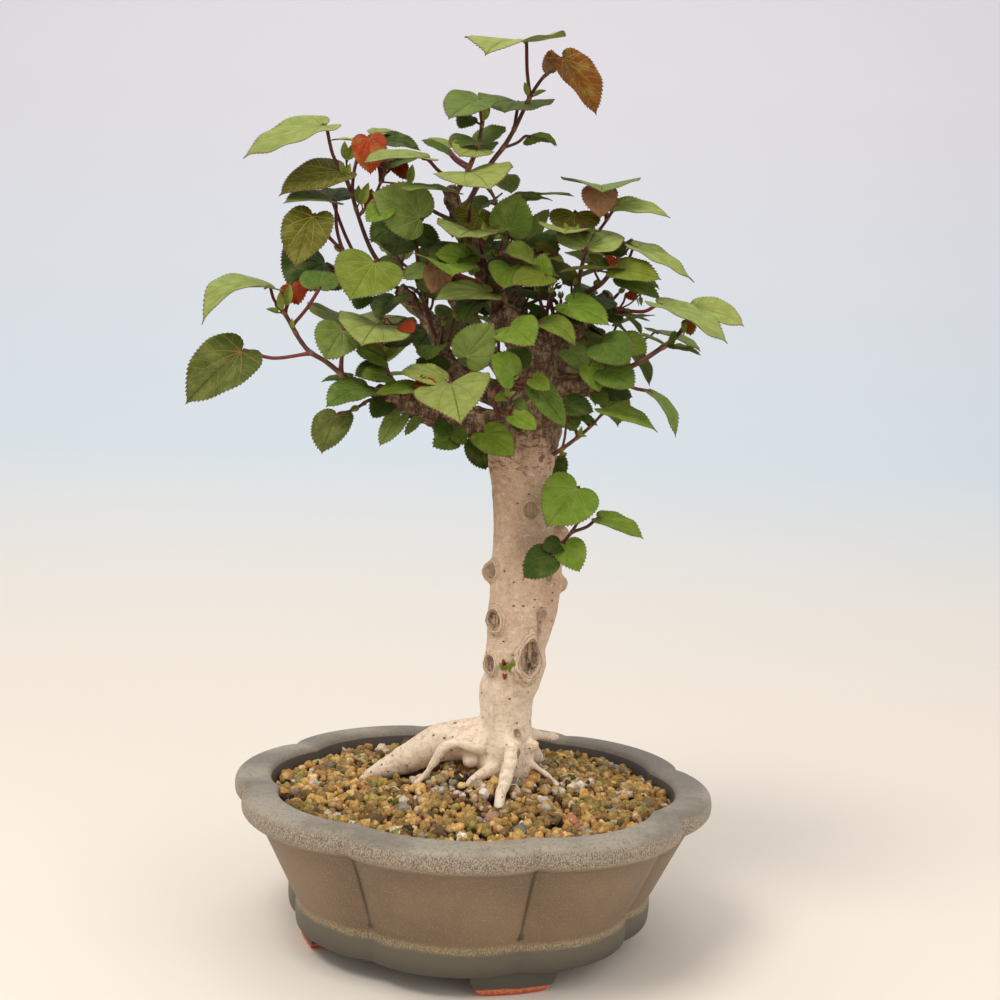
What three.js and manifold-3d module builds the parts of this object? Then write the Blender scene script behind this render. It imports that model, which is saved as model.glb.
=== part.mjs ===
// A sea hibiscus grown as a bonsai, with its glazed pot and its soil.
// Millimetres, +Z up, +X to the right, +Y to the back, the feet standing on z = 0.
import * as THREE from "three";
import { mergeVertices } from "three/addons/utils/BufferGeometryUtils.js";
import Module from "manifold-3d";

const wasm = await Module();
wasm.setup();

// Driving dimensions of the pot.
const POT_RADIUS = 115.7;
const POT_HEIGHT = 78.5;
const LOBES = 8;
const FIRST_NOTCH = 22.5;
const LOBE_BULGE = 0.05;
const LOBE_STEPS = 4;
const FEET = 4;
const FOOT_SPREAD = 14;
const FLOOR_TOP = 18.5;
const DRAIN_RADIUS = 9;
const DRAIN_OFFSET = 45;
const DRAIN_SIDES = 10;
const MESH_SIDE = 26;
const MESH_THICKNESS = 0.9;
const MESH_HOLE = 7;
const MESH_PITCH = 5;
const GAP = 0.35;
const WALL_GAP = 0.45;

// The pot's section: how far out from the middle, as a share of the notches' circle, and how high.
const OUTER_SECTION = [
  [0.725, 10.5], [0.764, 12.1], [0.766, 23.5], [0.758, 25.5], [0.782, 29.5], [0.921, 63.7], [0.95, 65.8], [1, 69.5],
  [1.003, 74.5], [0.985, POT_HEIGHT],
];
const INNER_SECTION = [[0.858, POT_HEIGHT], [0.845, 74.5], [0.765, 28.5], [0.7, FLOOR_TOP]];
const FOOT_SECTION = [[0.725, 0.6, 0], [0.735, 0.59, 3], [0.745, 0.58, 12.5]];

// The soil: its level at the wall and how it rises to the trunk.
const SOIL_EDGE = 71.5;
const SOIL_SECTION = [[0.7, FLOOR_TOP + GAP], [0.765, 28.5], [0.8395, SOIL_EDGE]];
const SOIL_RINGS = [0.93, 0.72, 0.48, 0.24];
const MOUND_RISE = 15;
const MOUND_REACH = 50;
const TRUNK_FOOT = [12, 0];

// The tree is laid out on the upright plane through its trunk, as it is seen from the front: u to the right,
// v up from the middle of the plane, and d towards the viewer along the line of sight.
const EYE_SIDE = -1.8;
const EYE_BACK = 659.9;
const EYE_UP = 256.9;
const PLANE_DISTANCE = 651;
const SIGHT_DIP = 3.12;
const SIGHT_TURN = 0.86;
const SIGHT_ROLL = 2.4;
const POT_TURN = 6.8;

const TRUNK_SIDES = 11;
const LIMB_SIDES = 6;
const STEM_SIDES = 5;
const STALK_SIDES = 3;
const BLADE_THICKNESS = 0.8;
const BLADE_SLIMMING = 0.92;
const PETIOLE_RADIUS = 0.75;
const STALK_TIP_RADIUS = 0.37;
const STALK_FLARE = 1.2;
const STALK_ENTRY = 1.4;
const STALK_SAG = 0.08;
const LONG_STALK = 22;
const STALK_SINK = 1;
const STALK_RISE = 0.3;
const SITTING = 0.6;

// Half outlines of the heart-shaped blades: along the midrib and out from it, in blade lengths.
const LARGE_HALF = [[-0.1, 0.22], [0.06, 0.45], [0.33, 0.5], [0.6, 0.37], [0.83, 0.14]];
const MEDIUM_HALF = [[-0.1, 0.26], [0.14, 0.48], [0.5, 0.43], [0.79, 0.17]];
const SMALL_HALF = [[-0.09, 0.28], [0.28, 0.49], [0.67, 0.28]];
const BLADE_FORMS = [
  { longest: 18, half: SMALL_HALF, ribs: [] },
  { longest: 29.5, half: MEDIUM_HALF, ribs: [0.42] },
  { longest: 200, half: LARGE_HALF, ribs: [0.3, 0.64] },
];

// Wood: each limb is a list of [u, v, d, radius].
const WOOD = {
  trunk: [
    [1.5, -148, -12, 12], [2.3, -128, -12, 15.2], [2.7, -108, -10, 13.3], [3.5, -95, -9, 13.8], [6, -89, -8, 14.2],
    [7.3, -81, -7, 16.1], [8, -73, -6, 14.8], [10, -62, -6, 16.6], [12.8, -44, -6, 17.8], [13.2, -28, -6, 17.8],
    [11.4, -14, -6, 14.8], [10.8, 4, -6, 14.7], [11, 24, -6, 17.6], [13, 33, -6, 17.5], [17, 44, -6, 16],
    [20, 56, -6, 14], [19, 68, -5, 12], [12, 80, -3, 10], [3, 90, 0, 8], [-3, 95, 3, 6.5],
  ],
  leader: [
    [3, 88, -1, 6], [-2, 103, -2, 5.4], [-10, 118, -2, 5], [-18, 133, -1, 4.8], [-23, 147, 0, 4.6],
    [-25.5, 157, 0, 4],
  ],
  lowLeft: [
    [12, 30, -2, 10], [-6, 36.5, 4, 9], [-20, 40, 9, 7.8], [-34, 43.5, 13, 6.8], [-46, 47.5, 16, 6], [-56, 52, 17, 5],
    [-62, 55.5, 17, 3.6],
  ],
  upperLeft: [
    [10, 46, -6, 8], [-12, 58, -8, 6.4], [-25, 66, -9, 5.8], [-30, 77, -10, 5.3], [-34, 88, -10, 4.8],
    [-43, 98, -10, 4.4], [-51, 106, -8, 3.8],
  ],
  right: [[18, 54, -4, 9], [31, 57, 0, 7], [40, 57, 4, 6], [47, 55, 7, 4.2]],
  upperRight: [[20, 62, -8, 7], [31, 77, -12, 5.6], [42, 89, -11, 4.9], [51, 99, -8, 4.4], [55, 103, -6, 3.6]],
  middleRight: [[16, 74, -6, 5.5], [26, 86, -6, 4.4], [35, 96, -5, 3.8], [40, 101, -3, 3]],
  backLeft: [[12, 52, -14, 7], [-4, 72, -34, 5], [-18, 90, -48, 3.8], [-26, 104, -56, 2.8]],
  backRight: [[20, 48, -14, 7], [30, 64, -36, 5], [38, 84, -52, 3.8], [40, 100, -60, 2.8]],
  backMiddle: [[12, 80, -10, 5], [10, 98, -28, 4], [6, 116, -40, 3], [4, 130, -46, 2.4]],
};

const ROOTS = [
  [[4, -118, -10, 12], [-12, -119, -12, 11], [-28, -121, -16, 9.8], [-42, -127, -20, 8.4], [-54, -133, -24, 6.4],
    [-65, -138, -27, 3.6], [-72, -143, -28, 2]],
  [[-3, -124, -4, 4], [-12, -124, -1, 3], [-21, -121.5, 0, 2.7], [-28.5, -124, 0, 2.6], [-33, -131, 0, 2.2],
    [-38, -138, 0, 1.8], [-44, -144, -1, 1.5], [-48, -151, -2, 1.3]],
  [[7, -118, 0, 5], [6, -126, 6, 4.4], [4.5, -134, 13, 4], [2, -142, 20, 3.7], [0, -149, 26, 3.3],
    [-1, -158, 32, 2.4]],
  [[2, -132, -2, 5], [-6, -136, 2, 3.6], [-13, -140, 5, 2.8], [-19, -147, 7, 2]],
  [[12, -129, -6, 2.6], [18, -133.5, -5, 1.9], [25, -139, -5, 1.6], [32, -147, -5, 1.4]],
  [[10, -116, -14, 5], [18, -117, -16, 4], [25, -117.5, -18, 3.4], [29, -118.5, -19, 2.6]],
  [[10, -124, -16, 8], [16, -128, -38, 5.6], [20, -136, -62, 2.6]],
  [[2, -122, -20, 8], [-8, -124, -34, 6], [-16, -127, -48, 4.4], [-20, -134, -60, 2.6]],
];

// Bumps on the wood: [u, v, d, radius].
const BUMPS = [
  [-3.5, -35.5, -5, 6.2], [30, -17, -8, 4.6], [30, -42, -8, 4.4], [16.5, -123, -4, 3.2], [-15, -130, -5, 4],
  [3, 87, 4, 6],
];

// Ringed scars of old cuts on the trunk's front: [u, v, radius, how far the lip stands out].
const SCARS = [
  [15, -5.5, 5, 0.9], [-2.5, -60, 6.2, 1.6], [-5.5, -82, 5, 1.3], [16, -79, 9, 2.2], [-4.5, -35, 5, 1.6],
];

// The leafy shoots: name, stems and leaves. A stem is [first radius, last radius, [u, v, d], ...].
// A leaf is [base u, v, d, tip u, v, d, how far it faces the viewer, how far it leans to the right,
// kind by its colour, width as a share of its length, fold, arch, where its stalk starts].
const SHOOTS = [
  ["shoot_top",
    [[2.3, 1.1, [-19, 142.5, -2], [-11, 157.5, -4], [-4, 169, -2], [2.5, 177.5, 0], [8.5, 188, 0], [15, 201.5, 0],
      [20.5, 210, 0], [24.5, 214, 2]]],
    [
      [12.5, 231, 0, -8, 228, 45, 19, -9, "L", 1, 6, 0.02, [15.5, 202.5, 0]],
      [30.5, 220.5, 2, 48.5, 193, 8, 75, 30, "O", 0.85, 12, 0.04, [24.5, 214, 2]],
      [9, 199, -12, 4, 192.5, 22, 35, 0, "S", 1.05, 8, 0.02, [8, 186, 0]],
      [14.5, 182, 0, 28.5, 176.5, 6, 5, 20, "M", 0.8, -30, 0.25, [2, 177, 0]],
    ]],
  ["shoot_crown",
    [[2, 1.2, [-22, 153, 4], [-16, 165, 6], [-11, 177, 6], [-9, 187.5, 6], [-8, 191, 6]]],
    [
      [-10.5, 200, 15, -25.5, 189.5, 29, 50, -10, "S", 1.1, 10, 0.05, [-9.5, 188, 6]],
      [-13.5, 179.5, 14, -24.5, 176.5, 24, 50, -15, "M", 1.2],
      [-12, 175.5, 16, -20, 171, 34, 35, 5, "L", 1],
      [-26.5, 174, 6, -39.5, 179.5, 12, 35, 0, "M", 0.7],
      [-9.5, 179.5, 2, 3, 187, -4, 45, 0, "S", 0.8],
      [-16, 164, 24, -4, 155, 54, 30, -3, "L", 1.1, 6, 0.04],
      [-38, 171, 18, -69, 170.5, 30, 22, 0, "L", 0.9, 5, 0.03, [-18.5, 160, 5.2]],
      [-24, 154, 22, -50.5, 155, 30, 18, 0, "S", 0.85, 5, 0.05],
    ]],
  ["shoot_upper_left",
    [[2, 1.4, [-52, 107, -8], [-56, 112.5, -8], [-63, 122.5, -6], [-67, 131, -4], [-71, 142.5, 0], [-74, 152.5, 2],
      [-77, 161, 2]],
    [1.3, 1, [-71, 141.5, 0], [-64, 150, 2], [-59.5, 159, 4], [-57, 165.5, 2]]],
    [
      [-89, 187, 6, -128.5, 170.5, 18, 31, -5, "L", 0.88, 6, 0.04, [-77, 161, 2]],
      [-80, 164, 4, -110.5, 152, 16, 50, -20, "B", 0.9, 8, 0.04],
      [-71.5, 179.5, -10, -84.5, 180, -14, 20, 0, "L", 0.7],
      [-65.5, 180.5, 8, -64.5, 162.5, 12, 85, 0, "R", 0.94, 10, 0.05, [-57, 165.5, 2]],
      [-57, 166.5, 2, -55, 171, -28, 15, 0, "M", 1.05, 16],
      [-59, 180, -4, -39.5, 176, -2, 40, 10, "D", 0.8],
    ]],
  ["shoot_bronze",
    [[1.7, 1.1, [-50, 105.5, -7], [-62.5, 112.5, 4], [-70, 118, 6], [-79.5, 125, 8]]],
    [
      [-93.5, 141.5, 12, -103, 116, 20, 78, -8, "B", 0.92, 10, 0.03, [-79.5, 125, 8]],
      [-84, 149.5, 6, -108, 149.5, 18, 25, 0, "S", 0.9, 8, 0.05, [-79, 126.5, 8]],
      [-87.5, 118, -14, -107, 106.5, 8, 55, 10, "D", 1.3, 5, 0.05, [-66, 114.5, 5]],
      [-63, 118.5, 24, -74, 99, 38, 62, 5, "Y", 1.3, 5, 0.05, [-57, 110, 1]],
    ]],
  ["shoot_left",
    [[2.3, 1.4, [-59, 54, 17], [-70, 57, 16], [-74, 58.5, 16], [-80, 63.5, 16], [-87.5, 69.5, 16], [-95, 74, 16],
      [-100, 80, 15], [-104, 87, 14], [-107.5, 93, 13], [-109.5, 95.5, 13]]],
    [
      [-117, 106.5, 10, -150, 89, 22, 20, 0, "L", 0.95, 10, 0.2, [-109.5, 95.5, 13]],
      [-130.5, 74, 16, -158, 47.5, 26, 72, -15, "V", 1, 8, 0.04, [-95.5, 73.5, 16]],
      [-78.5, 84.5, 22, -88.5, 70, 34, 68, 0, "S", 1.15, 8, 0.05, [-80, 63.5, 16]],
      [-78, 87, 10, -77, 93.5, -26, 8, 5, "L", 1.05, 16, 0.02, [-80.5, 64, 16]],
      [-75, 61.5, 6, -89.5, 59, 10, 20, 0, "M", 0.7],
    ]],
  ["shoot_left_inner",
    [[2.4, 1.4, [-53, 55, 18], [-54.5, 60, 18], [-57.5, 67.5, 18], [-59.5, 77.5, 18], [-60.5, 83, 18]]],
    [
      [-61.5, 87.5, 20, -69, 76.5, 52, 42, 8, "L", 1.05, 6, 0.04],
      [-59.5, 71.5, 24, -72.5, 74, 34, 55, -5, "M", 1.1],
      [-58.5, 64, 22, -73, 62, 32, 55, 0, "D", 1],
      [-57, 79, 10, -42, 82, 0, 40, 0, "D", 1],
    ]],
  ["shoot_front_left",
    [[1.9, 1.4, [-46, 51, 20], [-44, 56, 26], [-40, 60, 32]]],
    [
      [-24.5, 58, 38, -18.5, 39.5, 76, 60, -5, "L", 0.88, 6, 0.05, [-41, 59, 31]],
      [-28, 60, 26, -51, 63, 34, 35, -5, "L", 0.95, 6, 0.05],
      [-40, 55.5, 30, -63, 53.5, 36, 25, 0, "N", 0.75],
    ]],
  ["shoot_low_left",
    [[1.5, 1, [-58, 50.5, 21], [-65, 50, 24], [-71, 46.5, 26]]],
    [
      [-67.5, 56, 28, -87.5, 47.5, 38, 32, -5, "M", 1.05, 6, 0.06],
      [-81.5, 42, 26, -88.5, 22.5, 34, 50, -10, "V", 1, 8, 0.06],
    ]],
  ["shoot_low",
    [[1.2, 0.9, [-47, 43, 19], [-49, 39, 22]]],
    [
      [-50, 42, 24, -60, 26.5, 30, 40, 5, "S", 0.62, 8, 0.05],
    ]],
  ["shoot_under",
    [[1.4, 1, [-8, 34, 7], [-16, 32, 20], [-24, 31, 22]]],
    [
      [-8, 33.5, 32, 6.5, 21, 40, 66, 10, "N", 0.95, 6, 0.04],
    ]],
  ["shoot_trunk_left", [[1.3, 1, [0, 25.5, -12], [-9, 29, -20]]], [[-11, 30, -20, -6.5, 15, -24, 60, 0, "D", 1.1]]],
  ["shoot_trunk_right", [[1.3, 1, [24, 20, -14], [30, 22, -17]]], [[28, 20.5, -18, 28.5, 8.5, -18, 80, 0, "D", 1]]],
  ["shoot_front",
    [[1.9, 1.1, [0, 41, 12], [-1.5, 44, 22], [-4, 51, 28], [0, 57.5, 30], [6, 61, 32]],
      [1.2, 0.9, [-1.5, 44, 22], [6.5, 41.5, 30]]],
    [
      [6.5, 62, 34, -5, 72, 40, 62, 0, "N", 1.25, 6, 0.04],
      [18, 56.5, 30, 33, 36, 36, 62, 10, "M", 0.6],
      [7, 42, 34, 18.5, 35, 40, 60, 5, "N", 0.85],
    ]],
  ["shoot_front_high",
    [[1.9, 1.1, [3, 85, 4], [-6, 77, 22], [-14, 72, 30]]],
    [
      [-16.5, 71.5, 32, -3, 89, 40, 80, 0, "S", 1, 5, 0.02],
      [5, 86.5, 34, 17, 77.5, 50, 62, -5, "N", 1.05, 6, 0.05],
      [20.5, 88.5, 24, 38, 76.5, 30, 42, 5, "Y", 0.75, 8, 0.2, [-4, 79, 17]],
    ]],
  ["shoot_middle_left",
    [[1.7, 1.1, [-3, 100, 4], [-5, 104, 12], [-13, 113, 18]]],
    [
      [-6, 103.5, 22, -33.5, 101, 36, 32, 0, "L", 0.8, 6, 0.04],
      [-28.5, 118, 24, -25, 113.5, 52, 32, 10, "N", 1.1, 8, 0.03],
      [-13, 119, 14, -33, 123, 18, 50, 0, "N", 1],
      [-30, 115, 20, -35, 103, 26, 85, 0, "P", 1],
    ]],
  ["shoot_dark_stem",
    [[1.8, 1.1, [-36.5, 94, -6], [-40, 112, -4], [-42, 130, -4], [-40, 140, 0], [-37, 148, 4]]],
    [
      [-40, 141, 14, -64, 155, 22, 76, 0, "S", 1.1, 6, 0.03],
      [-48.5, 134, -14, -52, 121, 0, 72, 0, "M", 1.25],
      [-51, 138.5, 0, -65, 128.5, 8, 60, 0, "D", 1],
    ]],
  ["shoot_leader",
    [[1.8, 1.1, [-17, 130, 3], [-12, 137, 10], [-10, 142, 12]]],
    [
      [-10.5, 143, 12, -14.5, 131, 16, 78, 0, "B", 1.75],
      [-15, 134.5, 25, -20, 129.5, 54, 28, 3, "L", 1, 12, 0.02],
      [4, 135, 14, 10, 153.5, 16, 80, 5, "M", 1.2, 8, 0.02],
      [11, 151.5, -4, 37, 152, 4, 16, 0, "S", 0.7, 5, 0.04],
    ]],
  ["shoot_middle",
    [[1.8, 1.1, [-0.5, 102, 4], [-1, 110, 8], [0, 121, 10], [1.5, 130, 10]]],
    [
      [5, 116.5, 24, 2, 105.5, 34, 66, 0, "N", 1.3],
      [22, 112, 26, 6, 107, 40, 45, 0, "Y", 0.8],
      [16, 121.5, 20, 2, 124.5, 30, 48, 0, "Y", 1.1],
      [27.5, 127.5, 0, 12, 128.5, 2, 50, 0, "D", 0.8],
      [27.5, 124, 6, 16.5, 128.5, 10, 60, 0, "B", 0.5],
    ]],
  ["shoot_right_top",
    [[2, 1.1, [38, 101, -1], [40, 112.5, 0], [42, 121, 4], [45, 130, 4], [50.5, 136, 2], [57, 145.5, 2]]],
    [
      [49.5, 157, -6, 52, 155, 30, 16, 0, "S", 1.1, 10, 0.02],
      [49.5, 155, 8, 50.5, 141, 14, 85, 0, "P", 1.15],
      [57.5, 147, 4, 85.5, 142, 8, 30, -5, "L", 0.8, 5, 0.04, [57, 145.5, 2]],
      [43.5, 126.5, 22, 50, 135.5, -14, 42, -5, "L", 0.85, 5, 0.04],
      [37.5, 143, -4, 36.5, 131, 0, 75, 0, "B", 2],
      [35, 134.5, 8, 31, 133, 38, 20, 0, "L", 1, 8, 0.02],
    ]],
  ["shoot_right_upper",
    [[1.9, 1.1, [41, 103, 0], [50, 107.5, 8], [56, 113.5, 12], [62, 117.5, 10]]],
    [
      [57, 115, 12, 29, 114.5, 22, 9, 0, "Y", 0.7],
      [58, 115.5, 16, 80.5, 110, 22, 42, 0, "Y", 0.85, 6, 0.04],
      [68.5, 126, 8, 97, 108.5, 14, 20, 5, "L", 0.8, 6, 0.04, [61, 116.5, 10]],
      [60.5, 110.5, 12, 81, 100.5, 12, 45, 0, "M", 0.65],
    ]],
  ["shoot_right_middle",
    [[1.4, 0.9, [56, 101, -4], [58, 96, 2], [62.5, 94.5, 6]]],
    [
      [81, 97.5, 22, 114.5, 78.5, 36, 15, 0, "L", 0.8, 6, 0.05, [62.5, 94.5, 6]],
      [60, 92.5, 6, 75, 89.5, 10, 12, 0, "S", 0.6],
    ]],
  ["shoot_far_right",
    [[2.3, 1.5, [48, 56, 8], [52.5, 60, 12], [58.5, 63.5, 14], [70, 69, 16], [80, 75.5, 16], [86, 79.5, 16],
      [91, 85, 14], [93.5, 89.5, 12]]],
    [
      [97.5, 96, 4, 122.5, 87, 14, 34, 0, "L", 0.95, 6, 0.05, [93.5, 89.5, 12]],
      [76, 53, 12, 88, 31.5, 18, 20, 20, "S", 0.5, 8, 0.12, [57, 62.6, 13.7]],
      [83, 77, 18, 68.5, 83.5, 20, 20, 0, "S", 0.45],
      [86.5, 76.5, 18, 100.5, 73, 22, 25, 0, "M", 0.4],
    ]],
  ["shoot_right_low",
    [[1.7, 1, [43, 61, 6], [47.5, 69, 10], [52.5, 75, 12]]],
    [
      [51, 78, 18, 66, 68.5, 28, 62, 0, "M", 1.2, 6, 0.05],
      [61, 79, 6, 73.5, 73, 12, 62, 0, "N", 1.15],
      [34.5, 75, 10, 44.5, 64.5, 16, 60, 0, "S", 0.9],
      [45, 66.5, 16, 50, 54, 22, 60, 0, "N", 0.95],
      [53, 65, 18, 67, 55.5, 26, 62, 0, "M", 1.1],
    ]],
  ["shoot_right_inner",
    [[1.5, 1, [47, 94, -8], [46, 97, 2], [44, 98, 8]]],
    [
      [34, 98, 14, 55, 87.5, 24, 48, 0, "N", 0.8],
    ]],
  ["shoot_low_right",
    [[1.8, 1, [27, 23, 4], [31, 25.5, 8], [39, 31.5, 10], [45, 36.5, 10], [51.5, 43.5, 10]]],
    [
      [53, 45.5, 12, 79, 34, 18, 18, 0, "N", 0.75, 6, 0.05, [51.5, 43.5, 10]],
      [33, 47.5, 14, 47, 44, 16, 50, 0, "D", 1.1],
    ]],
  ["shoot_trunk",
    [[1.7, 1.1, [22, -25, 1], [31, -21.5, 11], [33.5, -19, 13], [36.5, -15, 14], [39.5, -10, 14]]],
    [
      [38.5, 5.5, 16, 23, -14, 30, 78, -5, "N", 1.05, 6, 0.04, [39.5, -10, 14]],
      [50.5, -9.5, 14, 72, -19, 20, 26, 5, "N", 0.75, 10, 0.04, [36.5, -15.5, 14]],
      [33, -22.5, 18, 40.5, -35.5, 24, 76, 5, "N", 1.1, 6, 0.04],
      [24.5, -28, 22, 11, -38.5, 28, 72, 0, "D", 1, 6, 0.04],
    ]],
];

// Far side leaves: the turn from one to the next, the blade's width, fold and arch, and the stalk's length
// as a share of the blade's.
const GOLDEN_TURN = 137.5;
const FAR_WIDTH = 0.95;
const FAR_FOLD = 8;
const FAR_ARCH = 0.05;
const FAR_STALK = 0.4;

// Shoots on the far side: name, stem as above, number of leaves, length of the longest.
const BACK_SHOOTS = [
  ["shoot_back_left", [1.8, 1, [-26, 103, -57], [-40, 112, -66], [-54, 122, -70]], 4, 27],
  ["shoot_back_left_low", [1.8, 1, [-18, 84, -50], [-40, 84, -62], [-58, 88, -70]], 4, 27],
  ["shoot_back_low_left", [1.6, 1, [-6, 68, -36], [-22, 60, -56], [-34, 58, -70]], 3, 26],
  ["shoot_back_top", [1.8, 1, [4, 129, -46], [0, 144, -52], [-6, 158, -52]], 4, 26],
  ["shoot_back_middle", [1.8, 1, [7, 112, -40], [14, 120, -62], [18, 130, -80]], 4, 27],
  ["shoot_back_right", [1.8, 1, [40, 99, -60], [52, 110, -66], [60, 122, -66]], 4, 27],
  ["shoot_back_right_low", [1.8, 1, [37, 80, -52], [54, 78, -64], [70, 80, -70]], 4, 27],
  ["shoot_back_low_right", [1.6, 1, [31, 62, -38], [42, 60, -58], [50, 62, -72]], 3, 26],
];

const COLOURS = {
  glaze: { color: 0x5f5443, roughness: 0.55, metalness: 0 },
  soil: { color: 0xa27a45, roughness: 0.95, metalness: 0 },
  bark: { color: 0xc8b096, roughness: 0.85, metalness: 0 },
  plastic: { color: 0x2c2c2c, roughness: 0.6, metalness: 0 },
  leaf: { color: 0x6f9440, roughness: 0.5, metalness: 0 },
};

const radians = THREE.MathUtils.degToRad;

// Solids

function solidFrom(geometry) {
  geometry.deleteAttribute("normal");
  geometry.deleteAttribute("uv");
  const merged = mergeVertices(geometry, 1e-5);
  const corners = Array.from(merged.index.array);
  const triangles = [];
  for (let i = 0; i < corners.length; i += 3) {
    const [a, b, c] = corners.slice(i, i + 3);
    if (a !== b && b !== c && c !== a) {
      triangles.push(a, b, c);
    }
  }
  return new wasm.Manifold(new wasm.Mesh({
    numProp: 3,
    vertProperties: new Float32Array(merged.attributes.position.array),
    triVerts: new Uint32Array(triangles),
  }));
}

function solidOf(points, triangles) {
  const geometry = new THREE.BufferGeometry().setFromPoints(points);
  geometry.setIndex(triangles.flat());
  return solidFrom(geometry);
}

function joined(solids) {
  return solids.reduce((whole, solid) => whole.add(solid));
}

function meshOf(name, solid, look) {
  const { vertProperties, triVerts } = solid.getMesh();
  const geometry = new THREE.BufferGeometry();
  geometry.setAttribute("position", new THREE.BufferAttribute(vertProperties, 3));
  geometry.setIndex(new THREE.BufferAttribute(triVerts, 1));
  geometry.computeVertexNormals();
  const mesh = new THREE.Mesh(geometry, new THREE.MeshStandardMaterial(look));
  mesh.name = name;
  return mesh;
}

// The skin between rings of equal count, and the flat face that closes the first ring.
function skin(rings) {
  const count = rings[0].length;
  const triangles = [];
  for (let ring = 0; ring < rings.length - 1; ring += 1) {
    for (let i = 0; i < count; i += 1) {
      const a = ring * count + i;
      const b = ring * count + (i + 1) % count;
      triangles.push([a, b, b + count], [a, b + count, a + count]);
    }
  }
  for (let i = 1; i < count - 1; i += 1) {
    triangles.push([0, i + 1, i]);
  }
  return triangles;
}

// A closed solid over rings of equal count, which run anticlockwise seen from where the rings are heading.
function loft(rings) {
  const last = (rings.length - 1) * rings[0].length;
  const lid = rings[0].slice(2).map((_, i) => [last, last + i + 1, last + i + 2]);
  return solidOf(rings.flat(), [...skin(rings), ...lid]);
}

// Lines of sight

const sightDirection = new THREE.Vector3(0, 1, 0);
const sightRight = new THREE.Vector3(1, 0, 0);
const sightUp = new THREE.Vector3(0, 0, 1);
const eye = new THREE.Vector3(EYE_SIDE, -EYE_BACK, EYE_UP);
const upright = new THREE.Vector3(0, 0, 1);

function aimSight() {
  const aim = new THREE.Matrix4().makeRotationZ(radians(POT_TURN - SIGHT_TURN));
  aim.multiply(new THREE.Matrix4().makeRotationX(-radians(SIGHT_DIP)));
  aim.multiply(new THREE.Matrix4().makeRotationY(-radians(SIGHT_ROLL)));
  for (const axis of [sightDirection, sightRight, sightUp]) {
    axis.transformDirection(aim);
  }
  eye.applyAxisAngle(upright, radians(POT_TURN));
}

// The point that is seen u to the right of the plane's middle and v above it, d nearer than the plane.
function spot([u, v, d]) {
  const ray = sightDirection.clone().multiplyScalar(PLANE_DISTANCE);
  ray.addScaledVector(sightRight, u).addScaledVector(sightUp, v);
  return ray.multiplyScalar(1 - d / PLANE_DISTANCE).add(eye);
}

// Limbs

function ringAround(centre, direction, radius, sides, side) {
  const across = side.clone().projectOnPlane(direction).normalize();
  const other = direction.clone().cross(across);
  return Array.from({ length: sides }, (_, i) => {
    const angle = (i / sides) * 2 * Math.PI;
    return centre.clone()
      .addScaledVector(across, radius * Math.cos(angle))
      .addScaledVector(other, radius * Math.sin(angle));
  });
}

// A round limb through the given points, with flat ends.
function limb(points, radii, sides) {
  let side = Math.abs(points[1].clone().sub(points[0]).normalize().z) > 0.7 ? sightRight : upright;
  const rings = points.map((point, i) => {
    const before = points[Math.max(i - 1, 0)];
    const after = points[Math.min(i + 1, points.length - 1)];
    const arriving = point.clone().sub(before).normalize();
    const leaving = after.clone().sub(point).normalize();
    const direction = arriving.add(leaving).normalize();
    side = side.clone().projectOnPlane(direction).normalize();
    return ringAround(point, direction, radii[i], sides, side);
  });
  return loft(rings);
}

function listedLimb(list, sides, swell = 0) {
  return limb(list.map(spot), list.map((entry) => entry[3] + swell), sides);
}

function ball([u, v, d, radius], swell = 0) {
  const geometry = new THREE.SphereGeometry(radius + swell, 7, 4);
  const centre = spot([u, v, d]);
  return solidFrom(geometry.translate(centre.x, centre.y, centre.z));
}

// Leaves

function bladeForm(length) {
  return BLADE_FORMS.find((form) => length < form.longest);
}

// Triangles between the rim of one half blade and its midrib, from the stalk to the tip.
function halfBladeTriangles(rim, ribs, reach) {
  const triangles = [];
  let i = 0;
  let j = 0;
  while (i < rim.length - 1 || j < ribs.length - 1) {
    const rimNext = j === ribs.length - 1 || (i < rim.length - 1 && reach(rim[i + 1]) <= reach(ribs[j + 1]));
    triangles.push(rimNext ? [rim[i], rim[i + 1], ribs[j]] : [rim[i], ribs[j + 1], ribs[j]]);
    if (rimNext) {
      i += 1;
    } else {
      j += 1;
    }
  }
  return triangles;
}

// The blade's own axes: along the midrib, to the side, and out of its upper face.
function bladeFrame(base, tip, facing, lean) {
  const along = tip.clone().sub(base).normalize();
  const hint = new THREE.Vector3(
    Math.sin(radians(lean)),
    -Math.sin(radians(facing)) * Math.cos(radians(lean)),
    Math.cos(radians(facing)) * Math.cos(radians(lean)),
  ).applyAxisAngle(upright, radians(POT_TURN));
  const out = hint.projectOnPlane(along).normalize();
  return { along, out, side: along.clone().cross(out) };
}

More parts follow.
